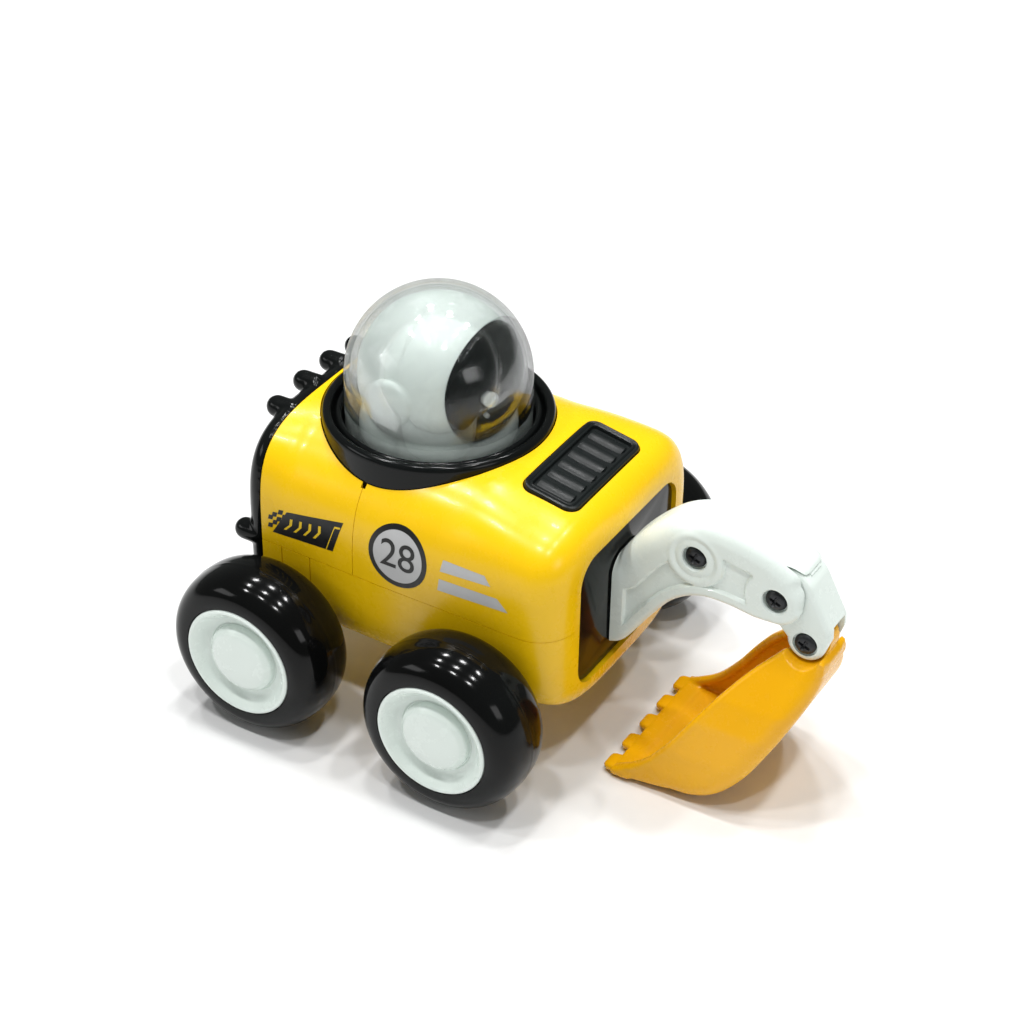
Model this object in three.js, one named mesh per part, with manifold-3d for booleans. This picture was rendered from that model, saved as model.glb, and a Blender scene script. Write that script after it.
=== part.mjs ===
// Press-and-go toy excavator: a moulded yellow body on four fat wheels, a clear dome with a
// white figure that is pressed down to wind a gear train, and a short boom with a toothed bucket.
// Millimetres, +Z up, +X towards the arm, Y across the wheels. The model is built about the middle
// of the wheelbase at ground level and moved at the end, so that the origin is the middle of its
// footprint on the ground.
import * as THREE from 'three';
import { mergeVertices } from 'three/addons/utils/BufferGeometryUtils.js';
import Module from 'manifold-3d';

const wasm = await Module();
wasm.setup();

// ---------------------------------------------------------------- driving dimensions
const GAP = 0.3; // clearance between neighbouring pieces
const WALL = 1.8; // moulded wall of the body shells

// Wheels and axles
const WHEEL_R = 19;
const WHEELBASE = 47.5;
const TYRE_W = 16.7;
const TYRE_SIDE_GAP = 0.8; // between a tyre's inner face and the body side
const HUB_R = WHEEL_R - 6.4;
const CAP_R = HUB_R - 4.9; // domed centre of a hub
const AXLE_R = 1.5;
const AXLES = { rear: -WHEELBASE / 2, front: WHEELBASE / 2 };

// Body and dome. The body's rear end is set by the rear axle, and the dome by that end.
const DOME_R = 19.6;
const DOME_WALL = 1.2;
const COLLAR_R = DOME_R + 4.8;
const BODY_HALF_W = COLLAR_R + 5.5;
const BODY_H = 48.5;
const BODY_BOTTOM = WHEEL_R - 4.5;
const BODY_TOP = BODY_BOTTOM + BODY_H;
const BODY_REAR_X = AXLES.rear - 5.75;
const DOME_X = BODY_REAR_X + COLLAR_R + 0.86;
const HOOD_L = 21.64; // from the collar to the front
const BODY_FRONT_X = DOME_X + COLLAR_R + HOOD_L;
const SIDE_Z = BODY_BOTTOM + 24.5; // level where the sides are widest
const SEAM_Z = SIDE_Z - 1.7; // joint between the shells and the tray
const SEAM_X = DOME_X - 2.06; // joint between the front and rear shells
const CORNER_R = 8.5; // upright front corners
const BROW_R = 5.5; // front edge of the hood
const LIP_R = 4; // front edge of the tray
const HOOD_DROP = 3.5; // fall of the hood towards the front
const COVER_DEPTH = 4.2; // rear cover, front to back
const COLLAR_TOP_Z = BODY_TOP + 0.8;
const COLLAR_BOTTOM_Z = BODY_TOP - 9;
const DOME_CENTRE_Z = BODY_TOP + 8;
const PRESS_TRAVEL = 8;

// Figure under the dome
const HEAD_R = DOME_R - 2.8;
const HEAD_CENTRE_Z = DOME_CENTRE_Z + 0.6;
const HEAD_BASE_Z = HEAD_CENTRE_Z - HEAD_R + 3.6;
const HEAD_WALL = 1.4;

// Gear train: module and tooth counts
const MODULE = 0.7;
const PINION_TEETH = 10;
const WHEEL_TEETH = 26;
const CLUTCH_TEETH = 10;
const AXLE_TEETH = 12;
const PINION_Z = BODY_BOTTOM + 17;
const GEAR_W = 2;
const SHAFT_R = 1;
const CLUTCH_FREE = 1.6; // how far the clutch gear stands off the axle gear at rest

// Arm, measured from the lower end of the boom's seat on the front panel
const ARM_X = BODY_FRONT_X - 0.5;
const ARM_Z = BODY_BOTTOM + 9.5;
const BOOM_HALF_W = 6.3;
const BOOM_WALL = 1.5;
const STICK_HALF_W = BOOM_HALF_W - 1.9;
const LUG_HALF_W = STICK_HALF_W / 2;
const BOOM_SCREW = { x: ARM_X + 18, z: ARM_Z + 28.4 };
const STICK_PIVOT = { x: ARM_X + 35.9, z: ARM_Z + 24.9 };
const BUCKET_PIVOT = { x: ARM_X + 42.4, z: ARM_Z + 16 };
const BUCKET_DROP = 39.3; // from the bucket's pivot down to its floor
const BUCKET_HALF_W = 18;
const BUCKET_WALL = 1.5;
const TOOTH_PITCH = 7.6;
const TOOTH_COUNT = 5;
const TOOTH_W = 5;
const TOOTH_L = 3.2; // how far a tooth stands out from the lip
const SCREW_HEAD_R = 2.35;
const SCREW_HEAD_H = 1.1;
const SCREW_R = 1.2;

// ---------------------------------------------------------------- finishes
const finish = (color, roughness, metalness = 0) =>
  new THREE.MeshStandardMaterial({ color, roughness, metalness });
const YELLOW = () => finish(0xf2c81c, 0.3);
const BUCKET_YELLOW = () => finish(0xf5b315, 0.35);
const WHITE = () => finish(0xe9f2ec, 0.3);
const BLACK = () => finish(0x101416, 0.15);
const SATIN_BLACK = () => finish(0x1c2122, 0.45);
const STEEL = () => finish(0xb8bcc0, 0.3, 1);
const DARK_STEEL = () => finish(0x2a2c2e, 0.35, 1);
const GEAR_WHITE = () => finish(0xe4e0d2, 0.5);
const CLEAR = () => finish(0xdfe6e8, 0.05);

// ---------------------------------------------------------------- solids
const EXTRA = 40; // how far a cutting solid runs past what it cuts

function toSolid(geometry) {
  const bare = geometry.clone();
  bare.deleteAttribute('normal');
  bare.deleteAttribute('uv');
  const merged = mergeVertices(bare, 1e-4);
  return new wasm.Manifold(new wasm.Mesh({
    numProp: 3,
    vertProperties: new Float32Array(merged.attributes.position.array),
    triVerts: new Uint32Array(merged.index.array),
  }));
}

function toGeometry(solid) {
  const mesh = solid.getMesh();
  const geometry = new THREE.BufferGeometry();
  geometry.setAttribute('position', new THREE.BufferAttribute(new Float32Array(mesh.vertProperties), 3));
  geometry.setIndex(new THREE.BufferAttribute(new Uint32Array(mesh.triVerts), 1));
  geometry.computeVertexNormals();
  return geometry;
}

const excavator = new THREE.Group();

function piece(name, solid, material) {
  const mesh = new THREE.Mesh(toGeometry(solid), material);
  mesh.name = name;
  excavator.add(mesh);
}

function box(x0, x1, y0, y1, z0, z1) {
  const geometry = new THREE.BoxGeometry(x1 - x0, y1 - y0, z1 - z0);
  geometry.translate((x0 + x1) / 2, (y0 + y1) / 2, (z0 + z1) / 2);
  return toSolid(geometry);
}

// A cylinder along Y, X or Z, between two places on that axis.
function rodY(r, x, z, y0, y1, sides = 10) {
  const geometry = new THREE.CylinderGeometry(r, r, y1 - y0, sides);
  geometry.translate(x, (y0 + y1) / 2, z);
  return toSolid(geometry);
}

function rodZ(r, x, y, z0, z1, sides = 10) {
  const geometry = new THREE.CylinderGeometry(r, r, z1 - z0, sides);
  geometry.rotateX(Math.PI / 2);
  geometry.translate(x, y, (z0 + z1) / 2);
  return toSolid(geometry);
}

function rodX(r, y, z, x0, x1, sides = 10) {
  const geometry = new THREE.CylinderGeometry(r, r, x1 - x0, sides);
  geometry.rotateZ(Math.PI / 2);
  geometry.translate((x0 + x1) / 2, y, z);
  return toSolid(geometry);
}

// A flat outline drawn in X and Z, given a thickness along Y.
function slabY(shape, y0, y1, curveSegments = 3) {
  const geometry = new THREE.ExtrudeGeometry(shape, { depth: y1 - y0, bevelEnabled: false, curveSegments });
  geometry.rotateX(Math.PI / 2);
  geometry.translate(0, y1, 0);
  return toSolid(geometry);
}

// A flat outline drawn in Y and Z, given a thickness along X.
function slabX(shape, x0, x1, curveSegments = 4) {
  const geometry = new THREE.ExtrudeGeometry(shape, { depth: x1 - x0, bevelEnabled: false, curveSegments });
  const axes = new THREE.Matrix4().makeBasis(
    new THREE.Vector3(0, 1, 0), new THREE.Vector3(0, 0, 1), new THREE.Vector3(1, 0, 0));
  geometry.applyMatrix4(axes);
  geometry.translate(x0, 0, 0);
  return toSolid(geometry);
}

function slabZ(shape, z0, z1, curveSegments = 4) {
  const geometry = new THREE.ExtrudeGeometry(shape, { depth: z1 - z0, bevelEnabled: false, curveSegments });
  geometry.translate(0, 0, z0);
  return toSolid(geometry);
}

// A profile of [radius, height] points turned about an upright axis.
function turnZ(points, x, sides = 24) {
  const geometry = new THREE.LatheGeometry(points.map(([r, h]) => new THREE.Vector2(r, h)), sides);
  geometry.rotateX(Math.PI / 2);
  geometry.translate(x, 0, 0);
  return toSolid(geometry);
}

// The same about an axis along Y. side is 1 for the left wheels and -1 for the right ones.
function turnY(points, x, z, side, sides = 20) {
  const geometry = new THREE.LatheGeometry(points.map(([r, h]) => new THREE.Vector2(r, h)), sides);
  if (side < 0) geometry.rotateX(Math.PI);
  geometry.translate(x, 0, z);
  return toSolid(geometry);
}

function ball(r, x, y, z, sides = 24, rows = 12) {
  const geometry = new THREE.SphereGeometry(r, sides, rows);
  geometry.rotateX(Math.PI / 2);
  geometry.translate(x, y, z);
  return toSolid(geometry);
}

function roundedRect(u0, u1, v0, v1, r) {
  const shape = new THREE.Shape();
  shape.moveTo(u0 + r, v0);
  shape.lineTo(u1 - r, v0);
  shape.absarc(u1 - r, v0 + r, r, -Math.PI / 2, 0, false);
  shape.lineTo(u1, v1 - r);
  shape.absarc(u1 - r, v1 - r, r, 0, Math.PI / 2, false);
  shape.lineTo(u0 + r, v1);
  shape.absarc(u0 + r, v1 - r, r, Math.PI / 2, Math.PI, false);
  shape.lineTo(u0, v0 + r);
  shape.absarc(u0 + r, v0 + r, r, Math.PI, Math.PI * 1.5, false);
  return shape;
}

const curve = (points) => points.map(([u, v]) => new THREE.Vector2(u, v));

// ---------------------------------------------------------------- body
// How far a rounded edge has pulled in at a distance `into` the rounding.
function pulledIn(into, radius) {
  if (into <= 0) return 0;
  return radius - Math.sqrt(Math.max(0, radius * radius - into * into));
}

const HOOD_START_X = DOME_X + 12.24;
const HOOD_LENGTH = BODY_FRONT_X - 5.3 - HOOD_START_X;
const REAR_TAPER = 0.7; // the body is this much narrower, each side, at the rear
const LOWER_POWER = 4; // squareness of the lower corners of a section
const SHOULDER_POWER = 3; // squareness of the upper corners at the middle
const REAR_POWER = 4;
const FRONT_POWER = 4.5;
const DOME_REACH = COLLAR_R - 4.4; // the shoulders are softest within this distance of the dome

function halfWidth(x) {
  const taper = REAR_TAPER * Math.max(0, Math.min(1, -x / -BODY_REAR_X));
  return BODY_HALF_W - taper - pulledIn(x - (BODY_FRONT_X - CORNER_R), CORNER_R);
}

function topZ(x) {
  const fall = Math.max(0, (x - HOOD_START_X) / HOOD_LENGTH);
  return BODY_TOP - HOOD_DROP * fall * fall - pulledIn(x - (BODY_FRONT_X - BROW_R), BROW_R);
}

function bottomZ(x) {
  return BODY_BOTTOM + pulledIn(x - (BODY_FRONT_X - LIP_R), LIP_R);
}

function upperPower(x) {
  const out = Math.max(0, Math.abs(x - DOME_X) - DOME_REACH);
  const end = x < DOME_X ? BODY_REAR_X : BODY_FRONT_X;
  const far = Math.abs(end - DOME_X) - DOME_REACH;
  const power = x < DOME_X ? REAR_POWER : FRONT_POWER;
  return SHOULDER_POWER + (power - SHOULDER_POWER) * Math.min(1, out / far);
}

// A closed skin through rounded sections at the stations along X. width, top, bottom and power
// give each section; inset moves it inwards.
function sections(stations, inset, sides, form) {
  const rows = stations.length - 1;
  const geometry = new THREE.CylinderGeometry(1, 1, 1, sides, rows);
  const place = geometry.attributes.position;
  const bend = (value, power) => Math.sign(value) * Math.abs(value) ** (2 / power);
  for (let i = 0; i < place.count; i += 1) {
    const x = stations[Math.round((place.getY(i) + 0.5) * rows)];
    const across = place.getZ(i);
    const up = place.getX(i);
    const upper = up > 0;
    const power = upper ? form.power(x) : LOWER_POWER;
    const height = upper ? form.top(x) - inset - SIDE_Z : SIDE_Z - form.bottom(x) - inset;
    place.setXYZ(
      i, x, (form.width(x) - inset) * bend(across, power), SIDE_Z + height * bend(up, power));
  }
  return toSolid(geometry);
}

const bodyForm = { width: halfWidth, top: topZ, bottom: bottomZ, power: upperPower };
const BODY_SIDES = 24;
const frontSteps = [8.5, 5, 2.5, 0.8, 0].map((step) => BODY_FRONT_X - step);
const hoodSteps = [0, 0.38, 0.7].map((share) => HOOD_START_X + share * HOOD_LENGTH);
const bodyStations = [BODY_REAR_X, BODY_REAR_X + 5.5, ...hoodSteps, ...frontSteps];
const hollowStations = bodyStations.slice(1, -3).concat(BODY_FRONT_X - WALL - 0.6);
const outerSkin = sections(bodyStations, 0, BODY_SIDES, bodyForm);
const hollow = sections([BODY_REAR_X - 1, ...hollowStations], WALL, BODY_SIDES, bodyForm);
const FLAT_Z = BODY_BOTTOM + 0.4; // the tray's underside is flattened here
const above = (z) => box(-200, 200, -200, 200, z, 200);
const below = (z) => box(-200, 200, -200, 200, -200, z);
const bodySkin = outerSkin.subtract(hollow).intersect(above(FLAT_Z));

// Front panel: a rounded black plate set just inside the yellow front edge.
const PANEL_HALF_W = halfWidth(BODY_FRONT_X) - 1.6;
const PANEL_TOP = topZ(BODY_FRONT_X) - 1.2;
const PANEL_BOTTOM = bottomZ(BODY_FRONT_X) + 2.2;
const PANEL_FACE_X = BODY_FRONT_X - 0.8;
const PANEL_T = 1.6;
const PANEL_R = 5.5;
const panelShape = (grow) => roundedRect(-PANEL_HALF_W - grow, PANEL_HALF_W + grow,
  PANEL_BOTTOM - grow, PANEL_TOP + grow, PANEL_R + grow);
const panelHole = slabX(panelShape(GAP), BODY_FRONT_X - 6, BODY_FRONT_X + EXTRA);

// Vent: a raised grille on the hood, tilted with it.
const VENT_X = BODY_FRONT_X - 11.7;
const VENT_L = 12.7;
const VENT_W = 28.8;
const VENT_T = 1.6;
const VENT_PROUD = 0.8;
const VENT_SLOTS = 6;
const VENT_SLOPE = Math.atan2(topZ(VENT_X - VENT_L / 2) - topZ(VENT_X + VENT_L / 2), VENT_L);
const VENT_LIFT = -0.5; // the crowned hood falls away under the grille's long edges
function onHood(solid) {
  return solid.rotate([0, THREE.MathUtils.radToDeg(VENT_SLOPE), 0])
    .translate([VENT_X, 0, topZ(VENT_X) + VENT_LIFT]);
}
const ventShape = (grow) => roundedRect(
  -VENT_L / 2 - grow, VENT_L / 2 + grow, -VENT_W / 2 - grow, VENT_W / 2 + grow, 2.6 + grow);
const ventHole = onHood(slabZ(ventShape(GAP), VENT_PROUD - VENT_T - GAP, EXTRA));

// Screws up into the shells from under the tray, and the posts that they pull together.
const POST_SETS = [AXLES.rear + 6.75, AXLES.front - 6.75];
const SHELL_POSTS = POST_SETS.flatMap((x) => [[x, 1], [x, -1]]);
const POST_Y = BODY_HALF_W - 10.9;
const POST_R = 2.6;
const POST_FOOT_Z = BODY_BOTTOM + 7.5;
const POST_TOP_Z = SEAM_Z + 4.2;
const TRAY_POST_R = 4;
const UNDER_SCREW_Z = FLAT_Z + 2.2; // seat of the screw heads
const UNDER_SCREW_L = 14;

function shellPost(x, side) {
  const reach = halfWidth(x) - 0.6;
  const post = rodZ(POST_R, x, side * POST_Y, POST_FOOT_Z, POST_TOP_Z);
  const rib = side > 0
    ? box(x - 0.9, x + 0.9, POST_Y, reach, SEAM_Z + 1.2, POST_TOP_Z)
    : box(x - 0.9, x + 0.9, -reach, -POST_Y, SEAM_Z + 1.2, POST_TOP_Z);
  const pilotTop = UNDER_SCREW_Z + UNDER_SCREW_L + 2;
  return post.add(rib).subtract(rodZ(SCREW_R + GAP, x, side * POST_Y, 0, pilotTop));
}

const collarHole = rodZ(COLLAR_R + GAP, DOME_X, 0, COLLAR_BOTTOM_Z - 10, BODY_TOP + EXTRA, 28);
const upperSkin = bodySkin.subtract(collarHole).subtract(panelHole).subtract(ventHole)
  .intersect(above(SEAM_Z + GAP / 2));
const rearHalf = box(-200, SEAM_X - GAP / 2, -200, 200, -200, 200);
const frontHalf = box(SEAM_X + GAP / 2, 200, -200, 200, -200, 200);
let rearShell = upperSkin.intersect(rearHalf);
let frontShell = upperSkin.intersect(frontHalf);
let tray = bodySkin.intersect(below(SEAM_Z - GAP / 2)).subtract(panelHole);

// The rear cover is screwed to a bar across the rear shell and to a post on the tray's floor.
const COVER_SCREWS = [BODY_TOP - 18, BODY_BOTTOM + 7.5]; // the upper one clears the gearbox
const COVER_SCREW_REACH = 3.2; // depth of the bar and the post
const [barZ, postZ] = COVER_SCREWS;
const barHalf = halfWidth(BODY_REAR_X) - 0.6;
const barEnd = BODY_REAR_X + COVER_SCREW_REACH;
rearShell = rearShell.add(box(BODY_REAR_X, barEnd, -barHalf, barHalf, barZ - 2.6, barZ + 2.6))
  .subtract(rodX(SCREW_R + GAP, 0, barZ, BODY_REAR_X - 1, barEnd + 1));
tray = tray.add(box(BODY_REAR_X, barEnd, -2.8, 2.8, FLAT_Z + 1, postZ + 3))
  .subtract(rodX(SCREW_R + GAP, 0, postZ, BODY_REAR_X - 1, barEnd + 1));

for (const [x, side] of SHELL_POSTS) {
  if (x < SEAM_X) rearShell = rearShell.add(shellPost(x, side));
  else frontShell = frontShell.add(shellPost(x, side));
  const trayPost = rodZ(TRAY_POST_R, x, side * POST_Y, FLAT_Z + 1.2, POST_FOOT_Z - GAP);
  const recess = rodZ(SCREW_HEAD_R + GAP, x, side * POST_Y, 0, UNDER_SCREW_Z);
  tray = tray.add(trayPost).subtract(recess)
    .subtract(rodZ(SCREW_R + GAP, x, side * POST_Y, 0, POST_FOOT_Z + 1));
}

// Axle bearings: bosses on the tray sides.
const BEARING_R = 3.4;
const TYRE_IN_Y = BODY_HALF_W + TYRE_SIDE_GAP;
const TYRE_OUT_Y = TYRE_IN_Y + TYRE_W;
for (const x of Object.values(AXLES)) {
  const bearingIn = BODY_HALF_W - 6.5;
  const bearing = rodY(BEARING_R, x, WHEEL_R, bearingIn, TYRE_IN_Y - 0.1)
    .add(rodY(BEARING_R, x, WHEEL_R, -TYRE_IN_Y + 0.1, -bearingIn));
  tray = tray.add(bearing).subtract(rodY(AXLE_R + GAP, x, WHEEL_R, -EXTRA, EXTRA));
}

// A sump in the tray's floor gives the axle gear room to turn.
const AXLE_GEAR_TIP = (MODULE * AXLE_TEETH) / 2 + MODULE * 0.9;
const STEM_HALF_W = 3.7; // the plunger's stem, which runs beside the large gear
const SUMP_Y0 = STEM_HALF_W - 0.1;
const SUMP_Y1 = SUMP_Y0 + GEAR_W + 1.2;
const FLOOR_Z = BODY_BOTTOM + WALL;
const sumpR = AXLE_GEAR_TIP + 2 * GAP;
const sumpWall = rodY(sumpR + 1.5, AXLES.rear, WHEEL_R, SUMP_Y0 - 1.5, SUMP_Y1 + 1.5, 24);
tray = tray.add(sumpWall.intersect(below(FLOOR_Z)))
  .subtract(rodY(sumpR, AXLES.rear, WHEEL_R, SUMP_Y0, SUMP_Y1, 24))
  .intersect(box(BODY_REAR_X, 200, -200, 200, -200, 200));

// Rear cover: a black cap with rounded lugs round its edge.
const COVER_X = BODY_REAR_X - GAP;
const COVER_R = 3.6;
const coverInto = (x) => COVER_X - COVER_DEPTH + COVER_R - x;
const coverForm = {
  width: (x) => halfWidth(BODY_REAR_X) - pulledIn(coverInto(x), COVER_R),
  top: (x) => BODY_TOP - pulledIn(coverInto(x), COVER_R),
  bottom: (x) => BODY_BOTTOM + pulledIn(coverInto(x), COVER_R),
  power: () => REAR_POWER,
};
const coverSteps = [0, 0.5, 1.6, COVER_R].map((step) => COVER_X - COVER_DEPTH + step);
const LUG_R = 2.4;
const LUG_OUT = 3.4; // how far a lug stands behind the cover
const LUGS = [[14.4, BODY_TOP - 2.6], [4.8, BODY_TOP - 1.4], [-4.8, BODY_TOP - 1.4],
  [-14.4, BODY_TOP - 2.6], [BODY_HALF_W - 2.5, SIDE_Z - 2], [2.5 - BODY_HALF_W, SIDE_Z - 2]];
const coverHollow = sections([COVER_X - COVER_DEPTH + WALL, COVER_X + 1], WALL, BODY_SIDES, coverForm);
let rearCover = sections([...coverSteps, COVER_X], 0, BODY_SIDES, coverForm);
for (const [y, z] of LUGS) {
  const lug = rodX(LUG_R, y, z, COVER_X - COVER_DEPTH - LUG_OUT + LUG_R, COVER_X - 0.4, 8)
    .add(ball(LUG_R, COVER_X - COVER_DEPTH - LUG_OUT + LUG_R, y, z, 8, 4));
  rearCover = rearCover.add(lug);
}
rearCover = rearCover.subtract(coverHollow).intersect(above(FLAT_Z));
const coverBack = COVER_X - COVER_DEPTH;
for (const z of COVER_SCREWS) {
  rearCover = rearCover.subtract(rodX(SCREW_HEAD_R + GAP, 0, z, coverBack - EXTRA, coverBack + 1))
    .subtract(rodX(SCREW_R + GAP, 0, z, coverBack - 1, COVER_X + 1));
}

// The boom's tongue passes through the panel, so the panel has a slot for it.
const TONGUE = { y: 3.6, z0: ARM_Z + 4, z1: ARM_Z + 18, depth: 5 };
const tongueHole = box(PANEL_FACE_X - EXTRA / 4, PANEL_FACE_X + 1,
  -TONGUE.y - GAP, TONGUE.y + GAP, TONGUE.z0 - GAP, TONGUE.z1 + GAP);
const panel = slabX(panelShape(0), PANEL_FACE_X - PANEL_T, PANEL_FACE_X).subtract(tongueHole);

// Grille slots run along X and repeat across the hood.
const SLOT_L = 9;
const SLOT_W = 2.6;
const SLOT_PITCH = (VENT_W - 4) / VENT_SLOTS;
let grille = slabZ(ventShape(0), VENT_PROUD - VENT_T, VENT_PROUD);
for (let i = 0; i < VENT_SLOTS; i += 1) {
  const y = (i - (VENT_SLOTS - 1) / 2) * SLOT_PITCH;
  grille = grille.subtract(
    box(-SLOT_L / 2, SLOT_L / 2, y - SLOT_W / 2, y + SLOT_W / 2, VENT_PROUD - 0.7, EXTRA));
}

piece('rear_shell', rearShell, YELLOW());
piece('front_shell', frontShell, YELLOW());
piece('chassis_tray', tray, YELLOW());
piece('rear_cover', rearCover, BLACK());
piece('front_panel', panel, BLACK());
piece('vent_grille', onHood(grille), SATIN_BLACK());

// ---------------------------------------------------------------- screws
// A pan-head screw pointing down, its head's seat at the origin. The arm's screws show a cross.
function screw(length, crossed = false) {
  const plain = turnZ([
    [0, -length], [SCREW_R, -length], [SCREW_R, 0], [SCREW_HEAD_R, 0],
    [SCREW_HEAD_R, SCREW_HEAD_H * 0.5], [SCREW_HEAD_R * 0.8, SCREW_HEAD_H],
    [0, SCREW_HEAD_H]], 0, crossed ? 12 : 8);
  if (!crossed) return plain;
  const bars = new THREE.BoxGeometry(SCREW_HEAD_R * 1.3, 0.55, 0.9);
  const cross = new THREE.BoxGeometry(0.55, SCREW_HEAD_R * 1.3, 0.9);
  return plain
    .subtract(toSolid(bars).translate([0, 0, SCREW_HEAD_H]))
    .subtract(toSolid(cross).translate([0, 0, SCREW_HEAD_H]));
}

SHELL_POSTS.forEach(([x, side], i) => {
  const turned = screw(UNDER_SCREW_L).rotate([180, 0, 0]);
  const seated = turned.translate([x, side * POST_Y, UNDER_SCREW_Z - GAP]);
  piece(`tray_screw_${i + 1}`, seated, DARK_STEEL());
});
COVER_SCREWS.forEach((z, i) => {
  const turned = screw(COVER_DEPTH + COVER_SCREW_REACH - 1).rotate([0, -90, 0]);
  piece(`cover_screw_${i + 1}`, turned.translate([coverBack + 1 - GAP, 0, z]), DARK_STEEL());
});

// ---------------------------------------------------------------- dome and figure
const domeBottomZ = COLLAR_BOTTOM_Z - GAP;
const FLANGE_T = 1.5;
const FLANGE_R = DOME_R + 2.2;
const arcPoints = (r, centreZ, from, to, steps) => Array.from({ length: steps + 1 }, (_, i) => {
  const angle = from + ((to - from) * i) / steps;
  return [Math.max(0, r * Math.cos(angle)), centreZ + r * Math.sin(angle)];
});
const QUARTER = Math.PI / 2;
const dome = turnZ([
  ...arcPoints(DOME_R - DOME_WALL, DOME_CENTRE_Z, QUARTER, 0, 5),
  [DOME_R - DOME_WALL, domeBottomZ - FLANGE_T],
  [FLANGE_R, domeBottomZ - FLANGE_T], [FLANGE_R, domeBottomZ], [DOME_R, domeBottomZ],
  ...arcPoints(DOME_R, DOME_CENTRE_Z, 0, QUARTER, 6)], DOME_X);
piece('dome', dome, CLEAR());

const collarIn = DOME_R + 0.5;
const collar = turnZ([
  [collarIn, COLLAR_BOTTOM_Z], [COLLAR_R, COLLAR_BOTTOM_Z], [COLLAR_R, COLLAR_TOP_Z - 1.8],
  [COLLAR_R - 0.5, COLLAR_TOP_Z - 0.7], [COLLAR_R - 1.4, COLLAR_TOP_Z],
  [COLLAR_R - 2.2, COLLAR_TOP_Z - 0.5], [COLLAR_R - 2.6, COLLAR_TOP_Z - 1.3],
  [collarIn + 0.5, COLLAR_TOP_Z - 1.3], [collarIn, COLLAR_TOP_Z - 1.9],
  [collarIn, COLLAR_BOTTOM_Z]], DOME_X, 28);
piece('dome_collar', collar, BLACK());

const headBall = ball(HEAD_R, DOME_X, 0, HEAD_CENTRE_Z);
const headHollow = ball(HEAD_R - HEAD_WALL, DOME_X, 0, HEAD_CENTRE_Z, 16, 8);
const headSkin = headBall.subtract(headHollow).intersect(above(HEAD_BASE_Z));
const headRear = headSkin.intersect(box(-200, DOME_X - GAP / 2, -200, 200, -200, 200));
const headFront = headSkin.intersect(box(DOME_X + GAP / 2, 200, -200, 200, -200, 200));
piece('head_rear', headRear, WHITE());
piece('head_front', headFront, WHITE());

const VISOR_HALF_W = HEAD_R - 3.2;
const VISOR_HALF_H = HEAD_R - 4.6;
const VISOR_Z = HEAD_CENTRE_Z + 1.4;
const VISOR_T = 0.6;
function visorCut(grow) {
  const oval = new THREE.Shape();
  oval.absellipse(0, VISOR_Z, VISOR_HALF_W + grow, VISOR_HALF_H + grow, 0, Math.PI * 2, false);
  return slabX(oval, DOME_X + 2, DOME_X + EXTRA, 14);
}
const visor = ball(HEAD_R + GAP + VISOR_T, DOME_X, 0, HEAD_CENTRE_Z, 28, 14)
  .subtract(ball(HEAD_R + GAP, DOME_X, 0, HEAD_CENTRE_Z))
  .intersect(visorCut(0));
piece('visor', visor, BLACK());

const SHOULDER_R = HEAD_R - 0.2;
const SHOULDER_IN_R = SHOULDER_R - 7.6;
const SHOULDER_TOP_Z = HEAD_BASE_Z + 4.6;
const shoulders = turnZ([
  [SHOULDER_IN_R, HEAD_BASE_Z - 0.5], [SHOULDER_R - 1, HEAD_BASE_Z - 0.5],
  [SHOULDER_R - 0.2, HEAD_BASE_Z + 0.7],
  [SHOULDER_R, HEAD_BASE_Z + 2], [SHOULDER_R - 0.4, HEAD_BASE_Z + 3.4],
  [SHOULDER_R - 1.2, SHOULDER_TOP_Z], [SHOULDER_IN_R, SHOULDER_TOP_Z],
  [SHOULDER_IN_R, HEAD_BASE_Z - 0.5]], DOME_X)
  .subtract(ball(HEAD_R + GAP, DOME_X, 0, HEAD_CENTRE_Z))
  .subtract(ball(HEAD_R + GAP + VISOR_T + GAP, DOME_X, 0, HEAD_CENTRE_Z).intersect(visorCut(GAP)));
piece('shoulder_ring', shoulders, WHITE());

const EAR_R = 5.2;
const EAR_OUT = DOME_R - DOME_WALL - 0.6;
for (const [name, side] of [['ear_left', 1], ['ear_right', -1]]) {
  const y0 = side > 0 ? 12 : -EAR_OUT;
  const disc = rodY(EAR_R, DOME_X, HEAD_CENTRE_Z, y0, y0 + EAR_OUT - 12)
    .intersect(ball(DOME_R - DOME_WALL - 0.4, DOME_X, 0, HEAD_CENTRE_Z))
    .subtract(ball(HEAD_R + GAP, DOME_X, 0, HEAD_CENTRE_Z))
    .subtract(ball(HEAD_R + GAP + VISOR_T + GAP, DOME_X, 0, HEAD_CENTRE_Z).intersect(visorCut(GAP)));
  piece(name, disc, WHITE());
}

// ---------------------------------------------------------------- plunger, rack and spring
const PLATE_TOP_Z = domeBottomZ - FLANGE_T - GAP;
const PLATE_T = 1.5;
const STEM = { x0: DOME_X - 3.3, x1: DOME_X + 4, z0: PINION_Z - 6 };
const RACK_PITCH_X = STEM.x0 - MODULE * 0.2;
const POCKET_R = 2.3;
const POCKET_TOP_Z = COLLAR_BOTTOM_Z - 8;

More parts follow.
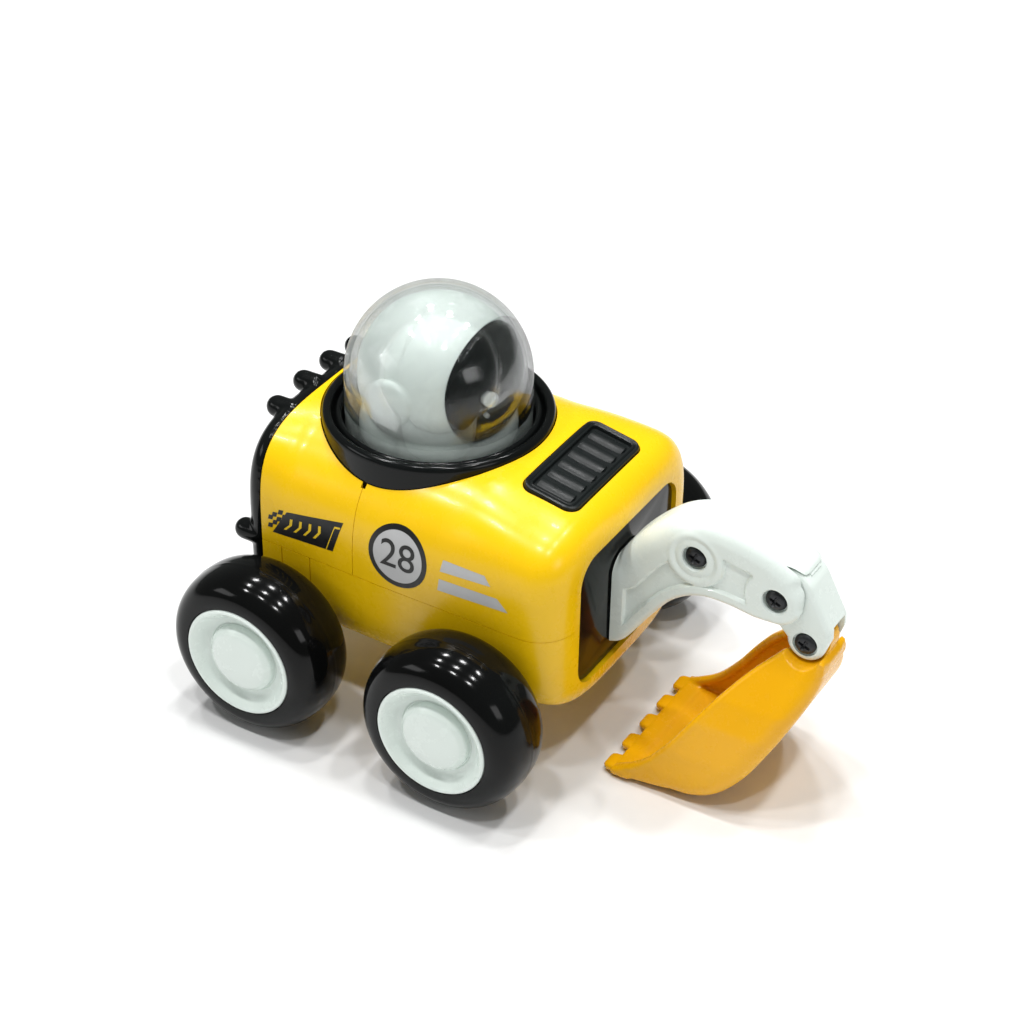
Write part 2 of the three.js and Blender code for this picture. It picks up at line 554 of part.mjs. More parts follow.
function rackTeeth() {
  const pitch = Math.PI * MODULE;
  const tip = RACK_PITCH_X - MODULE * 0.9;
  const root = RACK_PITCH_X + MODULE * 1.2;
  const count = Math.floor((PLATE_TOP_Z - PLATE_T - 3 - STEM.z0) / pitch);
  const shape = new THREE.Shape();
  const first = PINION_Z + pitch / 2 - pitch * Math.ceil((PINION_Z - STEM.z0) / pitch);
  shape.moveTo(root + 1, first - pitch / 2);
  for (let i = 0; i < count; i += 1) {
    const z = first + i * pitch;
    shape.lineTo(root, z - pitch * 0.36);
    shape.lineTo(tip, z - pitch * 0.13);
    shape.lineTo(tip, z + pitch * 0.13);
    shape.lineTo(root, z + pitch * 0.36);
  }
  shape.lineTo(root + 1, first + (count - 0.5) * pitch);
  return slabY(shape, -STEM_HALF_W + 0.7, STEM_HALF_W - 0.7);
}

const plunger = rodZ(FLANGE_R - 0.3, DOME_X, 0, PLATE_TOP_Z - PLATE_T, PLATE_TOP_Z, 28)
  .add(rodZ(14, DOME_X, 0, PLATE_TOP_Z - 0.5, HEAD_BASE_Z - 0.5 - GAP, 20))
  .add(box(RACK_PITCH_X + MODULE * 1.15, STEM.x1, -STEM_HALF_W, STEM_HALF_W, STEM.z0, PLATE_TOP_Z - 0.5))
  .add(rackTeeth())
  .subtract(rodZ(POCKET_R, DOME_X + 0.9, 0, 0, POCKET_TOP_Z));
piece('rack_plunger', plunger, SATIN_BLACK());

// The return spring is a coil of stepped turns in the plunger's pocket.
const SPRING_R = 1.75;
const WIRE_R = 0.3;
const SPRING_TURNS = 6;
class Coil extends THREE.Curve {
  getPoint(t, target = new THREE.Vector3()) {
    const angle = t * SPRING_TURNS * Math.PI * 2;
    const z = FLOOR_Z + GAP + WIRE_R + t * (POCKET_TOP_Z - FLOOR_Z - 2 * GAP - 2 * WIRE_R);
    return target.set(DOME_X + 0.9 + SPRING_R * Math.cos(angle), SPRING_R * Math.sin(angle), z);
  }
}
const wire = new THREE.Shape();
wire.absarc(0, 0, WIRE_R, 0, Math.PI * 2, false);
const coil = new THREE.ExtrudeGeometry(
  wire, { steps: SPRING_TURNS * 8, extrudePath: new Coil(), curveSegments: 2 });
piece('return_spring', toSolid(coil), STEEL());

// ---------------------------------------------------------------- gears
function gear(teeth, bore, x, z, y0, y1, turn) {
  const pitchR = (MODULE * teeth) / 2;
  const tip = pitchR + MODULE * 0.9;
  const root = pitchR - MODULE * 1.15;
  const shape = new THREE.Shape();
  for (let i = 0; i < teeth; i += 1) {
    for (const [share, r] of [[-0.34, root], [-0.12, tip], [0.12, tip], [0.34, root]]) {
      const angle = turn + ((i + share) / teeth) * Math.PI * 2;
      if (i === 0 && share === -0.34) shape.moveTo(x + r * Math.cos(angle), z + r * Math.sin(angle));
      else shape.lineTo(x + r * Math.cos(angle), z + r * Math.sin(angle));
    }
  }
  return slabY(shape, y0, y1).subtract(rodY(bore, x, z, y0 - 1, y1 + 1, 12));
}

const pitchRadius = (teeth) => (MODULE * teeth) / 2;
const PINION_X = RACK_PITCH_X - pitchRadius(PINION_TEETH);
const GEAR_Y0 = SUMP_Y0 + 0.6;
const GEAR_Y1 = GEAR_Y0 + GEAR_W;

// The clutch gear meshes with the large gear and stands just clear of the axle gear.
const toPinion = pitchRadius(WHEEL_TEETH) + pitchRadius(CLUTCH_TEETH);
const toAxle = pitchRadius(CLUTCH_TEETH) + pitchRadius(AXLE_TEETH) + CLUTCH_FREE;
const axleAway = Math.hypot(AXLES.rear - PINION_X, WHEEL_R - PINION_Z);
const along = (toPinion ** 2 - toAxle ** 2 + axleAway ** 2) / (2 * axleAway);
const aside = Math.sqrt(toPinion ** 2 - along ** 2);
const toward = { x: (AXLES.rear - PINION_X) / axleAway, z: (WHEEL_R - PINION_Z) / axleAway };
const CLUTCH_X = PINION_X + along * toward.x + aside * toward.z;
const CLUTCH_Z = PINION_Z + along * toward.z - aside * toward.x;

// A tooth of the large gear points at the clutch gear's gap; the pinion's gap faces the rack.
const clutchAngle = Math.atan2(CLUTCH_Z - PINION_Z, CLUTCH_X - PINION_X);
const clutchTurn = clutchAngle + Math.PI + Math.PI / CLUTCH_TEETH;
const driveGear = gear(WHEEL_TEETH, SHAFT_R + GAP, PINION_X, PINION_Z, GEAR_Y0, GEAR_Y1, clutchAngle)
  .add(gear(PINION_TEETH, SHAFT_R + GAP, PINION_X, PINION_Z, -STEM_HALF_W + 0.7, GEAR_Y0, 0));
const clutchGear = gear(CLUTCH_TEETH, SHAFT_R + GAP, CLUTCH_X, CLUTCH_Z, GEAR_Y0, GEAR_Y1, clutchTurn);
const axleGear = gear(AXLE_TEETH, AXLE_R + GAP, AXLES.rear, WHEEL_R, GEAR_Y0, GEAR_Y1, 0);
piece('drive_gear', driveGear, GEAR_WHITE());
piece('clutch_gear', clutchGear, GEAR_WHITE());
piece('axle_gear', axleGear, GEAR_WHITE());

// Gearbox: two side plates, spaced by posts, which carry the gear shafts.
const PLATE_R_Y1 = -STEM_HALF_W - 1;
const PLATE_L_Y0 = GEAR_Y1 + 0.8;
const SIDE_T = 1.5;
const GEARBOX_TOP_Z = PLATE_TOP_Z - PLATE_T - PRESS_TRAVEL - 0.6;
const gearboxFront = STEM.x1 + 6;
const gearboxShape = roundedRect(AXLES.rear - 4.5, gearboxFront, FLOOR_Z + 0.4, GEARBOX_TOP_Z, 2);
const SPACERS = [
  [gearboxFront - 3, FLOOR_Z + 4],
  [gearboxFront - 3, GEARBOX_TOP_Z - 3],
  [AXLES.rear - 1.5, GEARBOX_TOP_Z - 3],
];
const gearShafts = [['drive_shaft', PINION_X, PINION_Z], ['clutch_shaft', CLUTCH_X, CLUTCH_Z]];
let plateRight = slabY(gearboxShape, PLATE_R_Y1 - SIDE_T, PLATE_R_Y1);
let plateLeft = slabY(gearboxShape, PLATE_L_Y0, PLATE_L_Y0 + SIDE_T);
for (const [x, z] of SPACERS) {
  plateRight = plateRight.add(rodY(2, x, z, PLATE_R_Y1 - 0.5, PLATE_L_Y0 - GAP, 10));
}
const axleWay = rodY(AXLE_R + GAP, AXLES.rear, WHEEL_R, -EXTRA, EXTRA);
plateRight = plateRight.subtract(axleWay);
plateLeft = plateLeft.subtract(axleWay);
for (const [name, x, z] of gearShafts) {
  const way = rodY(SHAFT_R + GAP, x, z, -EXTRA, EXTRA, 12);
  plateRight = plateRight.subtract(way);
  plateLeft = plateLeft.subtract(way);
  piece(name, rodY(SHAFT_R, x, z, PLATE_R_Y1 - SIDE_T, PLATE_L_Y0 + SIDE_T, 12), STEEL());
}
piece('gearbox_right', plateRight, SATIN_BLACK());
piece('gearbox_left', plateLeft, SATIN_BLACK());

// ---------------------------------------------------------------- wheels
const HUB_FACE_Y = TYRE_OUT_Y - 0.2;
const TYRE_POWER = 2.4; // roundness of the tyre's section
const tyreIn = HUB_R + GAP;
const tyreProfile = [[tyreIn, TYRE_IN_Y]];
const TREAD_STEPS = 6;
for (let i = 0; i <= TREAD_STEPS; i += 1) {
  const t = -Math.cos((i / TREAD_STEPS) * Math.PI);
  const rise = (1 - Math.abs(t) ** TYRE_POWER) ** (1 / TYRE_POWER);
  const r = tyreIn + 0.4 + (WHEEL_R - tyreIn - 0.4) * rise;
  tyreProfile.push([r, (TYRE_IN_Y + TYRE_OUT_Y) / 2 + (t * TYRE_W) / 2]);
}
tyreProfile.push([tyreIn, TYRE_OUT_Y], [tyreIn, TYRE_IN_Y]);

const DISH_Y = HUB_FACE_Y - 2.4;
const CAP_Y = HUB_FACE_Y + 0.9;
const HUB_IN_Y = TYRE_IN_Y + 1;
const WEB_Y = DISH_Y - 1.6;
const AXLE_END_Y = WEB_Y - 0.5;
const hubProfile = [
  [0, AXLE_END_Y + GAP], [AXLE_R + GAP, AXLE_END_Y + GAP], [AXLE_R + GAP, HUB_IN_Y], [4, HUB_IN_Y],
  [4, WEB_Y], [HUB_R - 1.5, WEB_Y], [HUB_R - 1.5, HUB_IN_Y], [HUB_R, HUB_IN_Y],
  [HUB_R, HUB_FACE_Y], [HUB_R - 1.2, HUB_FACE_Y], [HUB_R - 2.2, DISH_Y + 0.8], [CAP_R, DISH_Y]];
for (let i = 1; i <= 3; i += 1) {
  const angle = (i / 3) * QUARTER;
  hubProfile.push([CAP_R * Math.cos(angle), DISH_Y + (CAP_Y - DISH_Y) * Math.sin(angle)]);
}
hubProfile[hubProfile.length - 1][0] = 0;

for (const [end, x] of Object.entries(AXLES)) {
  piece(`${end}_axle`, rodY(AXLE_R, x, WHEEL_R, -AXLE_END_Y, AXLE_END_Y, 12), STEEL());
  for (const [hand, side] of [['left', 1], ['right', -1]]) {
    piece(`tyre_${end}_${hand}`, turnY(tyreProfile, x, WHEEL_R, side), BLACK());
    piece(`hub_${end}_${hand}`, turnY(hubProfile, x, WHEEL_R, side), WHITE());
  }
}

// ---------------------------------------------------------------- boom
const BOOM_END_R = 5.6;
const BOOM_SEAT_H = 21.5; // height of the boom's seat on the panel
const armCurve = (points) => curve(points.map(([x, z]) => [ARM_X + x, ARM_Z + z]));
// The outline is set back by `inset` all round; the hollow inside it is open at the free end.
function boomShape(inset) {
  const p = STICK_PIVOT;
  const shape = new THREE.Shape();
  shape.moveTo(ARM_X + inset, ARM_Z + inset);
  shape.lineTo(ARM_X + 3.2 + inset * 0.4, ARM_Z + 2 + inset);
  shape.splineThru(armCurve([
    [9 - inset * 0.7, 10.4 + inset * 0.7], [13.8 - inset * 0.5, 16.3 + inset],
    [19.5, 19.5 + inset], [25.7, 19.9 + inset], [31.3, 19.2 + inset]])
    .concat(new THREE.Vector2(p.x, p.z - BOOM_END_R + inset)));
  shape.absarc(p.x, p.z, BOOM_END_R - inset, -QUARTER, 0, false);
  shape.lineTo(p.x + 5.4 - inset, p.z + 5.3 - inset);
  shape.quadraticCurveTo(p.x + 5 - inset, p.z + 7.7 - inset, p.x + 2.8 - inset, p.z + 8.7 - inset);
  shape.splineThru(armCurve([
    [34.1, 35.7 - inset], [28.9, 37.2 - inset], [22.9, 37.8 - inset], [16.9, 36.9 - inset],
    [11.7 + inset * 0.4, 34.6 - inset * 0.9], [7.3 + inset * 0.6, 30.9 - inset * 0.7],
    [inset, BOOM_SEAT_H - inset * 0.3]]));
  return shape;
}

const COVER_T = 1.4; // side plate that closes the boom's far side
const boomSplitY = BOOM_HALF_W - COVER_T - GAP;
const HOOD_R = 8.1; // the stick's upper end, round its pivot
const stickRoomR = HOOD_R + GAP;
const stickRoom = rodY(stickRoomR, STICK_PIVOT.x, STICK_PIVOT.z, -STICK_HALF_W - GAP, STICK_HALF_W + GAP, 24)
  .add(slabY(stickSweep(), -STICK_HALF_W - GAP, STICK_HALF_W + GAP));

// The way out for the stick at the boom's free end, below and ahead of its pivot.
function stickSweep() {
  const shape = new THREE.Shape();
  shape.moveTo(STICK_PIVOT.x - 7, STICK_PIVOT.z);
  shape.lineTo(STICK_PIVOT.x - 9, STICK_PIVOT.z - 12);
  shape.lineTo(STICK_PIVOT.x + 16, STICK_PIVOT.z - 12);
  shape.lineTo(STICK_PIVOT.x + 16, STICK_PIVOT.z + 6.8);
  shape.lineTo(STICK_PIVOT.x, STICK_PIVOT.z + 6.8);
  return shape;
}

const ARM_SCREW_SEAT = 1.3; // depth of the recess for a screw head
const LUG_SCREW_SEAT = 0.9; // the same in the stick's side
function armScrewWay(at, faceY, seat) {
  return rodY(SCREW_HEAD_R + GAP, at.x, at.z, faceY - 1, faceY + seat)
    .add(rodY(SCREW_R + GAP, at.x, at.z, faceY, BOOM_HALF_W - 0.4));
}

const boomScrewWays = armScrewWay(BOOM_SCREW, -BOOM_HALF_W, ARM_SCREW_SEAT)
  .add(armScrewWay(STICK_PIVOT, -BOOM_HALF_W, ARM_SCREW_SEAT));
const screwBoss = rodY(3.4, BOOM_SCREW.x, BOOM_SCREW.z, -BOOM_HALF_W + 0.5, boomSplitY);
const boomShell = slabY(boomShape(0), -BOOM_HALF_W, boomSplitY)
  .subtract(slabY(boomShape(BOOM_WALL), -BOOM_HALF_W + BOOM_WALL, BOOM_HALF_W))
  .add(screwBoss)
  .add(box(ARM_X - TONGUE.depth, ARM_X + 1, -TONGUE.y, TONGUE.y, TONGUE.z0, TONGUE.z1))
  .subtract(stickRoom)
  .subtract(boomScrewWays);
const boomCover = slabY(boomShape(0), boomSplitY + GAP, BOOM_HALF_W)
  .subtract(boomScrewWays);
piece('boom_shell', boomShell, WHITE());
piece('boom_cover', boomCover, WHITE());

function armScrew(name, at, faceY, seat, length) {
  const turned = screw(length, true).rotate([90, 0, 0]);
  piece(name, turned.translate([at.x, faceY + seat - GAP, at.z]), DARK_STEEL());
}
const boomScrewL = 2 * BOOM_HALF_W - ARM_SCREW_SEAT - 0.8;
armScrew('boom_screw', BOOM_SCREW, -BOOM_HALF_W, ARM_SCREW_SEAT, boomScrewL);
armScrew('stick_pivot_screw', STICK_PIVOT, -BOOM_HALF_W, ARM_SCREW_SEAT, boomScrewL);

// ---------------------------------------------------------------- stick
const CHEEK_R = 4; // stick's lower end, round the bucket's pivot
const EYE_R = 4.7; // stick's near side, round its own pivot
const BUCKET_LUG_R = 4.6; // bucket lug, round its pivot
function stickShape() {
  const p = STICK_PIVOT;
  const q = BUCKET_PIVOT;
  const shape = new THREE.Shape();
  shape.moveTo(p.x - 4.6, p.z + 1);
  shape.absarc(p.x, p.z, EYE_R, Math.PI, Math.PI * 1.25, false);
  shape.lineTo(q.x - CHEEK_R + 0.1, q.z + 0.4);
  shape.absarc(q.x, q.z, CHEEK_R, Math.PI, Math.PI * 1.9, false);
  shape.quadraticCurveTo(q.x + 5.2, q.z + 1.6, q.x + 4.8, q.z + 4.6);
  shape.lineTo(p.x + HOOD_R * Math.cos(0.6), p.z + HOOD_R * Math.sin(0.6));
  shape.absarc(p.x, p.z, HOOD_R, 0.6, 1.75, false);
  return shape;
}
const slotHalf = LUG_HALF_W + GAP;
const cheekSeatY = -STICK_HALF_W + LUG_SCREW_SEAT;
const stick = slabY(stickShape(), -STICK_HALF_W, STICK_HALF_W)
  .subtract(rodY(BUCKET_LUG_R + GAP, BUCKET_PIVOT.x, BUCKET_PIVOT.z, -slotHalf, slotHalf))
  .subtract(box(BUCKET_PIVOT.x - 12, BUCKET_PIVOT.x + 12, -slotHalf, slotHalf, 20, BUCKET_PIVOT.z))
  .subtract(rodY(SCREW_R + GAP, STICK_PIVOT.x, STICK_PIVOT.z, -EXTRA, EXTRA))
  .subtract(rodY(SCREW_R + GAP, BUCKET_PIVOT.x, BUCKET_PIVOT.z, -EXTRA, STICK_HALF_W - 0.5))
  .subtract(rodY(SCREW_HEAD_R + GAP, BUCKET_PIVOT.x, BUCKET_PIVOT.z, -EXTRA, cheekSeatY));
piece('stick', stick, WHITE());
const lugScrewL = 2 * STICK_HALF_W - LUG_SCREW_SEAT - 0.6;
armScrew('bucket_pivot_screw', BUCKET_PIVOT, -STICK_HALF_W, LUG_SCREW_SEAT, lugScrewL);

// ---------------------------------------------------------------- bucket
const LIP_X = BUCKET_PIVOT.x - 33.5;
const BUCKET_FLOOR_Z = BUCKET_PIVOT.z - BUCKET_DROP;
const BUCKET_TOP = 37; // from the floor to the end of the mouth's side edges
// Points from the pivot along X, and from the floor up.
const bucketCurve = (points) => curve(
  points.map(([x, z]) => [BUCKET_PIVOT.x + x, BUCKET_FLOOR_Z + z]));
function bucketSide(inset) {
  const f = BUCKET_FLOOR_Z;
  const back = BUCKET_PIVOT.x + 4.9 - inset;
  const shape = new THREE.Shape();
  shape.moveTo(LIP_X - inset * 8, f + inset);
  shape.lineTo(LIP_X + 11.8, f + inset);
  shape.splineThru(bucketCurve([
    [-16.2 - inset * 0.3, 0.5 + inset], [-11.4 - inset * 0.6, 2.9 + inset * 0.8],
    [-6.7 - inset * 0.8, 8 + inset * 0.5], [-3.2 - inset * 0.9, 13.8 + inset * 0.4],
    [0.6 - inset * 0.9, 21.2 + inset * 0.4], [4.9 - inset, 30.3]]));
  shape.quadraticCurveTo(back + 2, f + 34, back, f + BUCKET_TOP - inset);
  if (inset > 0) {
    shape.lineTo(LIP_X + 9.8, f + 60);
    shape.lineTo(LIP_X - inset * 8, f + 30);
    return shape;
  }
  shape.lineTo(BUCKET_PIVOT.x - 4.3, f + BUCKET_TOP);
  shape.splineThru(bucketCurve([
    [-9.1, 31], [-13.7, 25.2], [-18.1, 18.6], [-22.7, 11.4], [-27.7, 5.4], [-33.5, 1.6]]));
  return shape;
}

// Seen from the front the bucket narrows towards its pivot.
function bucketFront(inset) {
  const f = BUCKET_FLOOR_Z;
  const rows = [[0, 1], [12, 0.94], [20, 0.84], [26, 0.7], [32, 0.5], [37.5, 0.3]];
  const r = 1.6;
  const shape = new THREE.Shape();
  const width = (share) => BUCKET_HALF_W * share - inset;
  shape.moveTo(-width(1) + r, f + inset * 0.5);
  shape.lineTo(width(1) - r, f + inset * 0.5);
  shape.quadraticCurveTo(width(1), f + inset * 0.5, width(1), f + r + inset * 0.5);
  shape.splineThru(curve(rows.slice(1).map(([z, share]) => [width(share), f + z])));
  shape.lineTo(-width(rows.at(-1)[1]), f + rows.at(-1)[0]);
  shape.splineThru(curve(rows.slice(1).reverse().slice(1).map(([z, share]) => [-width(share), f + z])
    .concat([[-width(1), f + r + inset * 0.5]])));
  shape.quadraticCurveTo(-width(1), f + inset * 0.5, -width(1) + r, f + inset * 0.5);
  return shape;
}

// The bucket's form at a depth below its outer skin: its side view and front view crossed.
const bucketForm = (inset) => slabY(bucketSide(inset), -EXTRA, EXTRA, 2)
  .intersect(slabX(bucketFront(inset), LIP_X - EXTRA, LIP_X + 2 * EXTRA, 2));
const { x: lugX, z: lugZ } = BUCKET_PIVOT;
const cheekRoom = rodY(CHEEK_R + 1.3, lugX, lugZ, -EXTRA, EXTRA)
  .add(box(lugX - EXTRA, lugX + EXTRA, -EXTRA, EXTRA, lugZ - 0.8, lugZ + EXTRA));
let bucket = bucketForm(0).subtract(bucketForm(BUCKET_WALL)).subtract(cheekRoom);
for (let i = 0; i < TOOTH_COUNT; i += 1) {
  const y = (i - (TOOTH_COUNT - 1) / 2) * TOOTH_PITCH;
  const tooth = roundedRect(LIP_X - TOOTH_L, LIP_X + 1, y - TOOTH_W / 2, y + TOOTH_W / 2, 1.9);
  bucket = bucket.add(slabZ(tooth, BUCKET_FLOOR_Z, BUCKET_FLOOR_Z + BUCKET_WALL, 3));
}
const LUG_ROOT = 8; // how far below the pivot the lug runs into the bucket's back
const lugShape = new THREE.Shape();
lugShape.moveTo(lugX - BUCKET_LUG_R + 1, lugZ - LUG_ROOT);
lugShape.lineTo(lugX - BUCKET_LUG_R, lugZ);
lugShape.absarc(lugX, lugZ, BUCKET_LUG_R, Math.PI, 0, true);
lugShape.lineTo(lugX + BUCKET_LUG_R - 0.2, lugZ - LUG_ROOT);
const lugLimit = slabY(bucketSide(0), -EXTRA, EXTRA)
  .add(rodY(BUCKET_LUG_R, lugX, lugZ, -EXTRA, EXTRA));
const lug = slabY(lugShape, -LUG_HALF_W, LUG_HALF_W)
  .intersect(lugLimit)
  .subtract(rodY(SCREW_R + GAP, lugX, lugZ, -EXTRA, EXTRA));
bucket = bucket.add(lug);
piece('bucket', bucket, BUCKET_YELLOW());

// ---------------------------------------------------------------- frame
const extent = new THREE.Box3().setFromObject(excavator);
excavator.position.x = -(extent.min.x + extent.max.x) / 2;
excavator.updateMatrixWorld(true);

export default excavator;
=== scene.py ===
import math

import bmesh
import bpy
import numpy as np
from mathutils import Matrix, Vector


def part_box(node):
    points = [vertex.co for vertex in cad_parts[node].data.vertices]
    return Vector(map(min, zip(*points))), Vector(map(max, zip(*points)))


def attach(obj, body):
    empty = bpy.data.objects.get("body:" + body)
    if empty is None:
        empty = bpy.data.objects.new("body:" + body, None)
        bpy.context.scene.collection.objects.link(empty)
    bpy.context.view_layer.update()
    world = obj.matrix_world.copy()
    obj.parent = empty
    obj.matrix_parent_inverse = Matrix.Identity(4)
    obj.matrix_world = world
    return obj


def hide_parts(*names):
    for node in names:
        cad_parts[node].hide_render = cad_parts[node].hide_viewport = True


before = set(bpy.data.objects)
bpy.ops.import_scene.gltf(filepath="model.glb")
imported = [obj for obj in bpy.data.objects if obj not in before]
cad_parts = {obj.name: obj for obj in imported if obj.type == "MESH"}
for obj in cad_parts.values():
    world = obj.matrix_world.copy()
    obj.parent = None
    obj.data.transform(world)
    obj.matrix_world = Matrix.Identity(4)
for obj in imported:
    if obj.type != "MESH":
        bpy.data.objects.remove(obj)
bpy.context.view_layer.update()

# ---------------------------------------------------------------- body shells
# The body is three mouldings in lemon-yellow gloss ABS: a rear shell, a front shell and a tray
# under both. They meet on plain butt seams and are pulled together by screws from below.
MM = 0.001
axle_x = {end: sum(corner.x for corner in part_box(f"{end}_axle")) / 2 / MM for end in ("rear", "front")}
MID_X = (axle_x["rear"] + axle_x["front"]) / 2  # shapes are in millimetres from here, then placed
WALL = 1.8
REAR_X, FRONT_X = -29.5, 41.8
TOP_Z, BOTTOM_Z, SIDE_Z, FLAT_Z = 63.0, 14.5, 39.0, 14.9
HALF_W, REAR_TAPER = 29.9, 0.7
CORNER_R, BROW_R, LIP_R = 8.5, 5.5, 4.0
HOOD_START_X, HOOD_LENGTH, HOOD_DROP = 8.0, 28.5, 3.5
LOWER_POWER, SHOULDER_POWER, REAR_POWER, FRONT_POWER = 4.0, 3.0, 4.0, 4.5
DOME_X, DOME_REACH = -4.24, 20.0
SEAM_X, SEAM_Z, SEAM_GAP = -6.3, 37.3, 0.12
COLLAR_HOLE_R = 24.6
PANEL = {"half": 19.8, "low": 20.7, "high": 51.4, "radius": 5.5, "face": 41.0}
VENT = {"x": 30.1, "length": 12.7, "width": 28.8, "lift": -0.5, "radius": 2.6}


def cosd(angle):
    return math.cos(math.radians(angle))


def sind(angle):
    return math.sin(math.radians(angle))


def pulled_in(into, radius):
    """How far a rounded edge has drawn in at a depth `into` the rounding."""
    into = min(max(into, 0.0), radius)
    return radius - math.sqrt(radius * radius - into * into)


def half_width(x):
    taper = REAR_TAPER * min(1.0, max(0.0, x / REAR_X))
    return HALF_W - taper - pulled_in(x - (FRONT_X - CORNER_R), CORNER_R)


def top_z(x):
    fall = max(0.0, (x - HOOD_START_X) / HOOD_LENGTH)
    return TOP_Z - HOOD_DROP * fall * fall - pulled_in(x - (FRONT_X - BROW_R), BROW_R)


def bottom_z(x):
    return BOTTOM_Z + pulled_in(x - (FRONT_X - LIP_R), LIP_R)


def upper_power(x):
    out = max(0.0, abs(x - DOME_X) - DOME_REACH)
    far = abs((REAR_X if x < DOME_X else FRONT_X) - DOME_X) - DOME_REACH
    power = REAR_POWER if x < DOME_X else FRONT_POWER
    return SHOULDER_POWER + (power - SHOULDER_POWER) * min(1.0, out / far)


def side_y(x, z):
    """Half the body's width at a height, so that prints can lie on its side."""
    upper = z > SIDE_Z
    reach = top_z(x) - SIDE_Z if upper else SIDE_Z - bottom_z(x)
    power = upper_power(x) if upper else LOWER_POWER
    return half_width(x) * max(0.0, 1 - (abs(z - SIDE_Z) / reach) ** power) ** (1 / power)


def section(x, inset, sides, low=bottom_z, high=top_z, wide=half_width, power=upper_power):
    ring = []
    for i in range(sides):
        angle = 2 * math.pi * i / sides
        c, s = math.cos(angle), math.sin(angle)
        n = power(x) if s > 0 else LOWER_POWER
        reach = (high(x) - SIDE_Z if s > 0 else SIDE_Z - low(x)) - inset
        y = (wide(x) - inset) * math.copysign(abs(c) ** (2 / n), c)
        ring.append((x, y, SIDE_Z + reach * math.copysign(abs(s) ** (2 / n), s)))
    return ring


def added(name, data):
    """An object in the scene, at the origin, that shows a mesh, text, lamp or camera."""
    thing = bpy.data.objects.new(name, data)
    bpy.context.scene.collection.objects.link(thing)
    return thing


def new_object(name, points, faces):
    mesh = bpy.data.meshes.new(name)
    mesh.from_pydata([tuple(p) for p in points], [], faces)
    return added(name, mesh)


def mend(thing, merge=1e-4):
    work = bmesh.new()
    work.from_mesh(thing.data)
    bmesh.ops.remove_doubles(work, verts=work.verts, dist=merge)
    bmesh.ops.dissolve_degenerate(work, edges=work.edges, dist=merge)
    bmesh.ops.recalc_face_normals(work, faces=work.faces)
    work.to_mesh(thing.data)
    work.free()
    return thing


def loft(name, rings, caps=True):
    """Skins a list of equal rings of points, closing each ring and, with caps, both ends."""
    count = len(rings[0])
    points = [p for ring in rings for p in ring]
    faces = []
    for row in range(len(rings) - 1):
        for i in range(count):
            j = (i + 1) % count
            a, b = row * count, (row + 1) * count
            faces.append((a + i, a + j, b + j, b + i))
    if caps:
        faces.append(tuple(range(count)))
        faces.append(tuple(reversed(range(len(points) - count, len(points)))))
    return mend(new_object(name, points, faces))


def applied(thing):
    """Turns what the modifiers give into the object's plain mesh."""
    evaluated = thing.evaluated_get(bpy.context.evaluated_depsgraph_get())
    mesh = bpy.data.meshes.new_from_object(evaluated)
    thing.modifiers.clear()
    thing.data = mesh
    return thing


def cut(thing, cutter, operation="DIFFERENCE"):
    change = thing.modifiers.new("cut", "BOOLEAN")
    change.operation = operation
    change.solver = "EXACT"
    change.object = cutter
    applied(thing)
    bpy.data.objects.remove(cutter)
    return thing


def slice_off(thing, point, normal):
    """Cuts away what lies on the side of a plane that its normal points to, and closes the cut."""
    work = bmesh.new()
    work.from_mesh(thing.data)
    every = list(work.verts) + list(work.edges) + list(work.faces)
    done = bmesh.ops.bisect_plane(
        work, geom=every, dist=1e-5, plane_co=point, plane_no=normal, clear_outer=True)
    rim = [e for e in done["geom_cut"] if isinstance(e, bmesh.types.BMEdge)]
    bmesh.ops.holes_fill(work, edges=rim, sides=0)
    bmesh.ops.recalc_face_normals(work, faces=work.faces)
    work.to_mesh(thing.data)
    work.free()
    return thing


def copy_of(thing, name):
    return added(name, thing.data.copy())


def block(x0, x1, y0, y1, z0, z1, name="block"):
    points = [(x, y, z) for x in (x0, x1) for y in (y0, y1) for z in (z0, z1)]
    faces = [(0, 1, 3, 2), (4, 6, 7, 5), (0, 4, 5, 1), (2, 3, 7, 6), (0, 2, 6, 4), (1, 5, 7, 3)]
    return mend(new_object(name, points, faces))


def rounded_rect(u0, u1, v0, v1, r, steps=8):
    corners = [(u1 - r, v0 + r, -90), (u1 - r, v1 - r, 0), (u0 + r, v1 - r, 90), (u0 + r, v0 + r, 180)]
    return [(cu + r * cosd(start + 90 * i / steps),
             cv + r * sind(start + 90 * i / steps))
            for cu, cv, start in corners for i in range(steps + 1)]


def turned(name, profile, sides, axis, centre, side=1):
    """Turns [radius, height] points about an axis through centre. side -1 reverses the axis."""
    rings = []
    for radius, height in profile:
        ring = []
        for i in range(sides):
            angle = 2 * math.pi * i / sides
            a, b = radius * math.cos(angle), radius * math.sin(angle)
            offset = {"X": (height * side, a, b), "Y": (a, height * side, b), "Z": (a, b, height * side)}
            ring.append(tuple(c + o for c, o in zip(centre, offset[axis])))
        rings.append(ring)
    closed = profile[0] == profile[-1]
    return loft(name, rings, caps=not closed)


def rod(radius, axis, centre, start, end, sides=64):
    return turned("rod", [(0, start), (radius, start), (radius, end), (0, end)], sides, axis, centre)


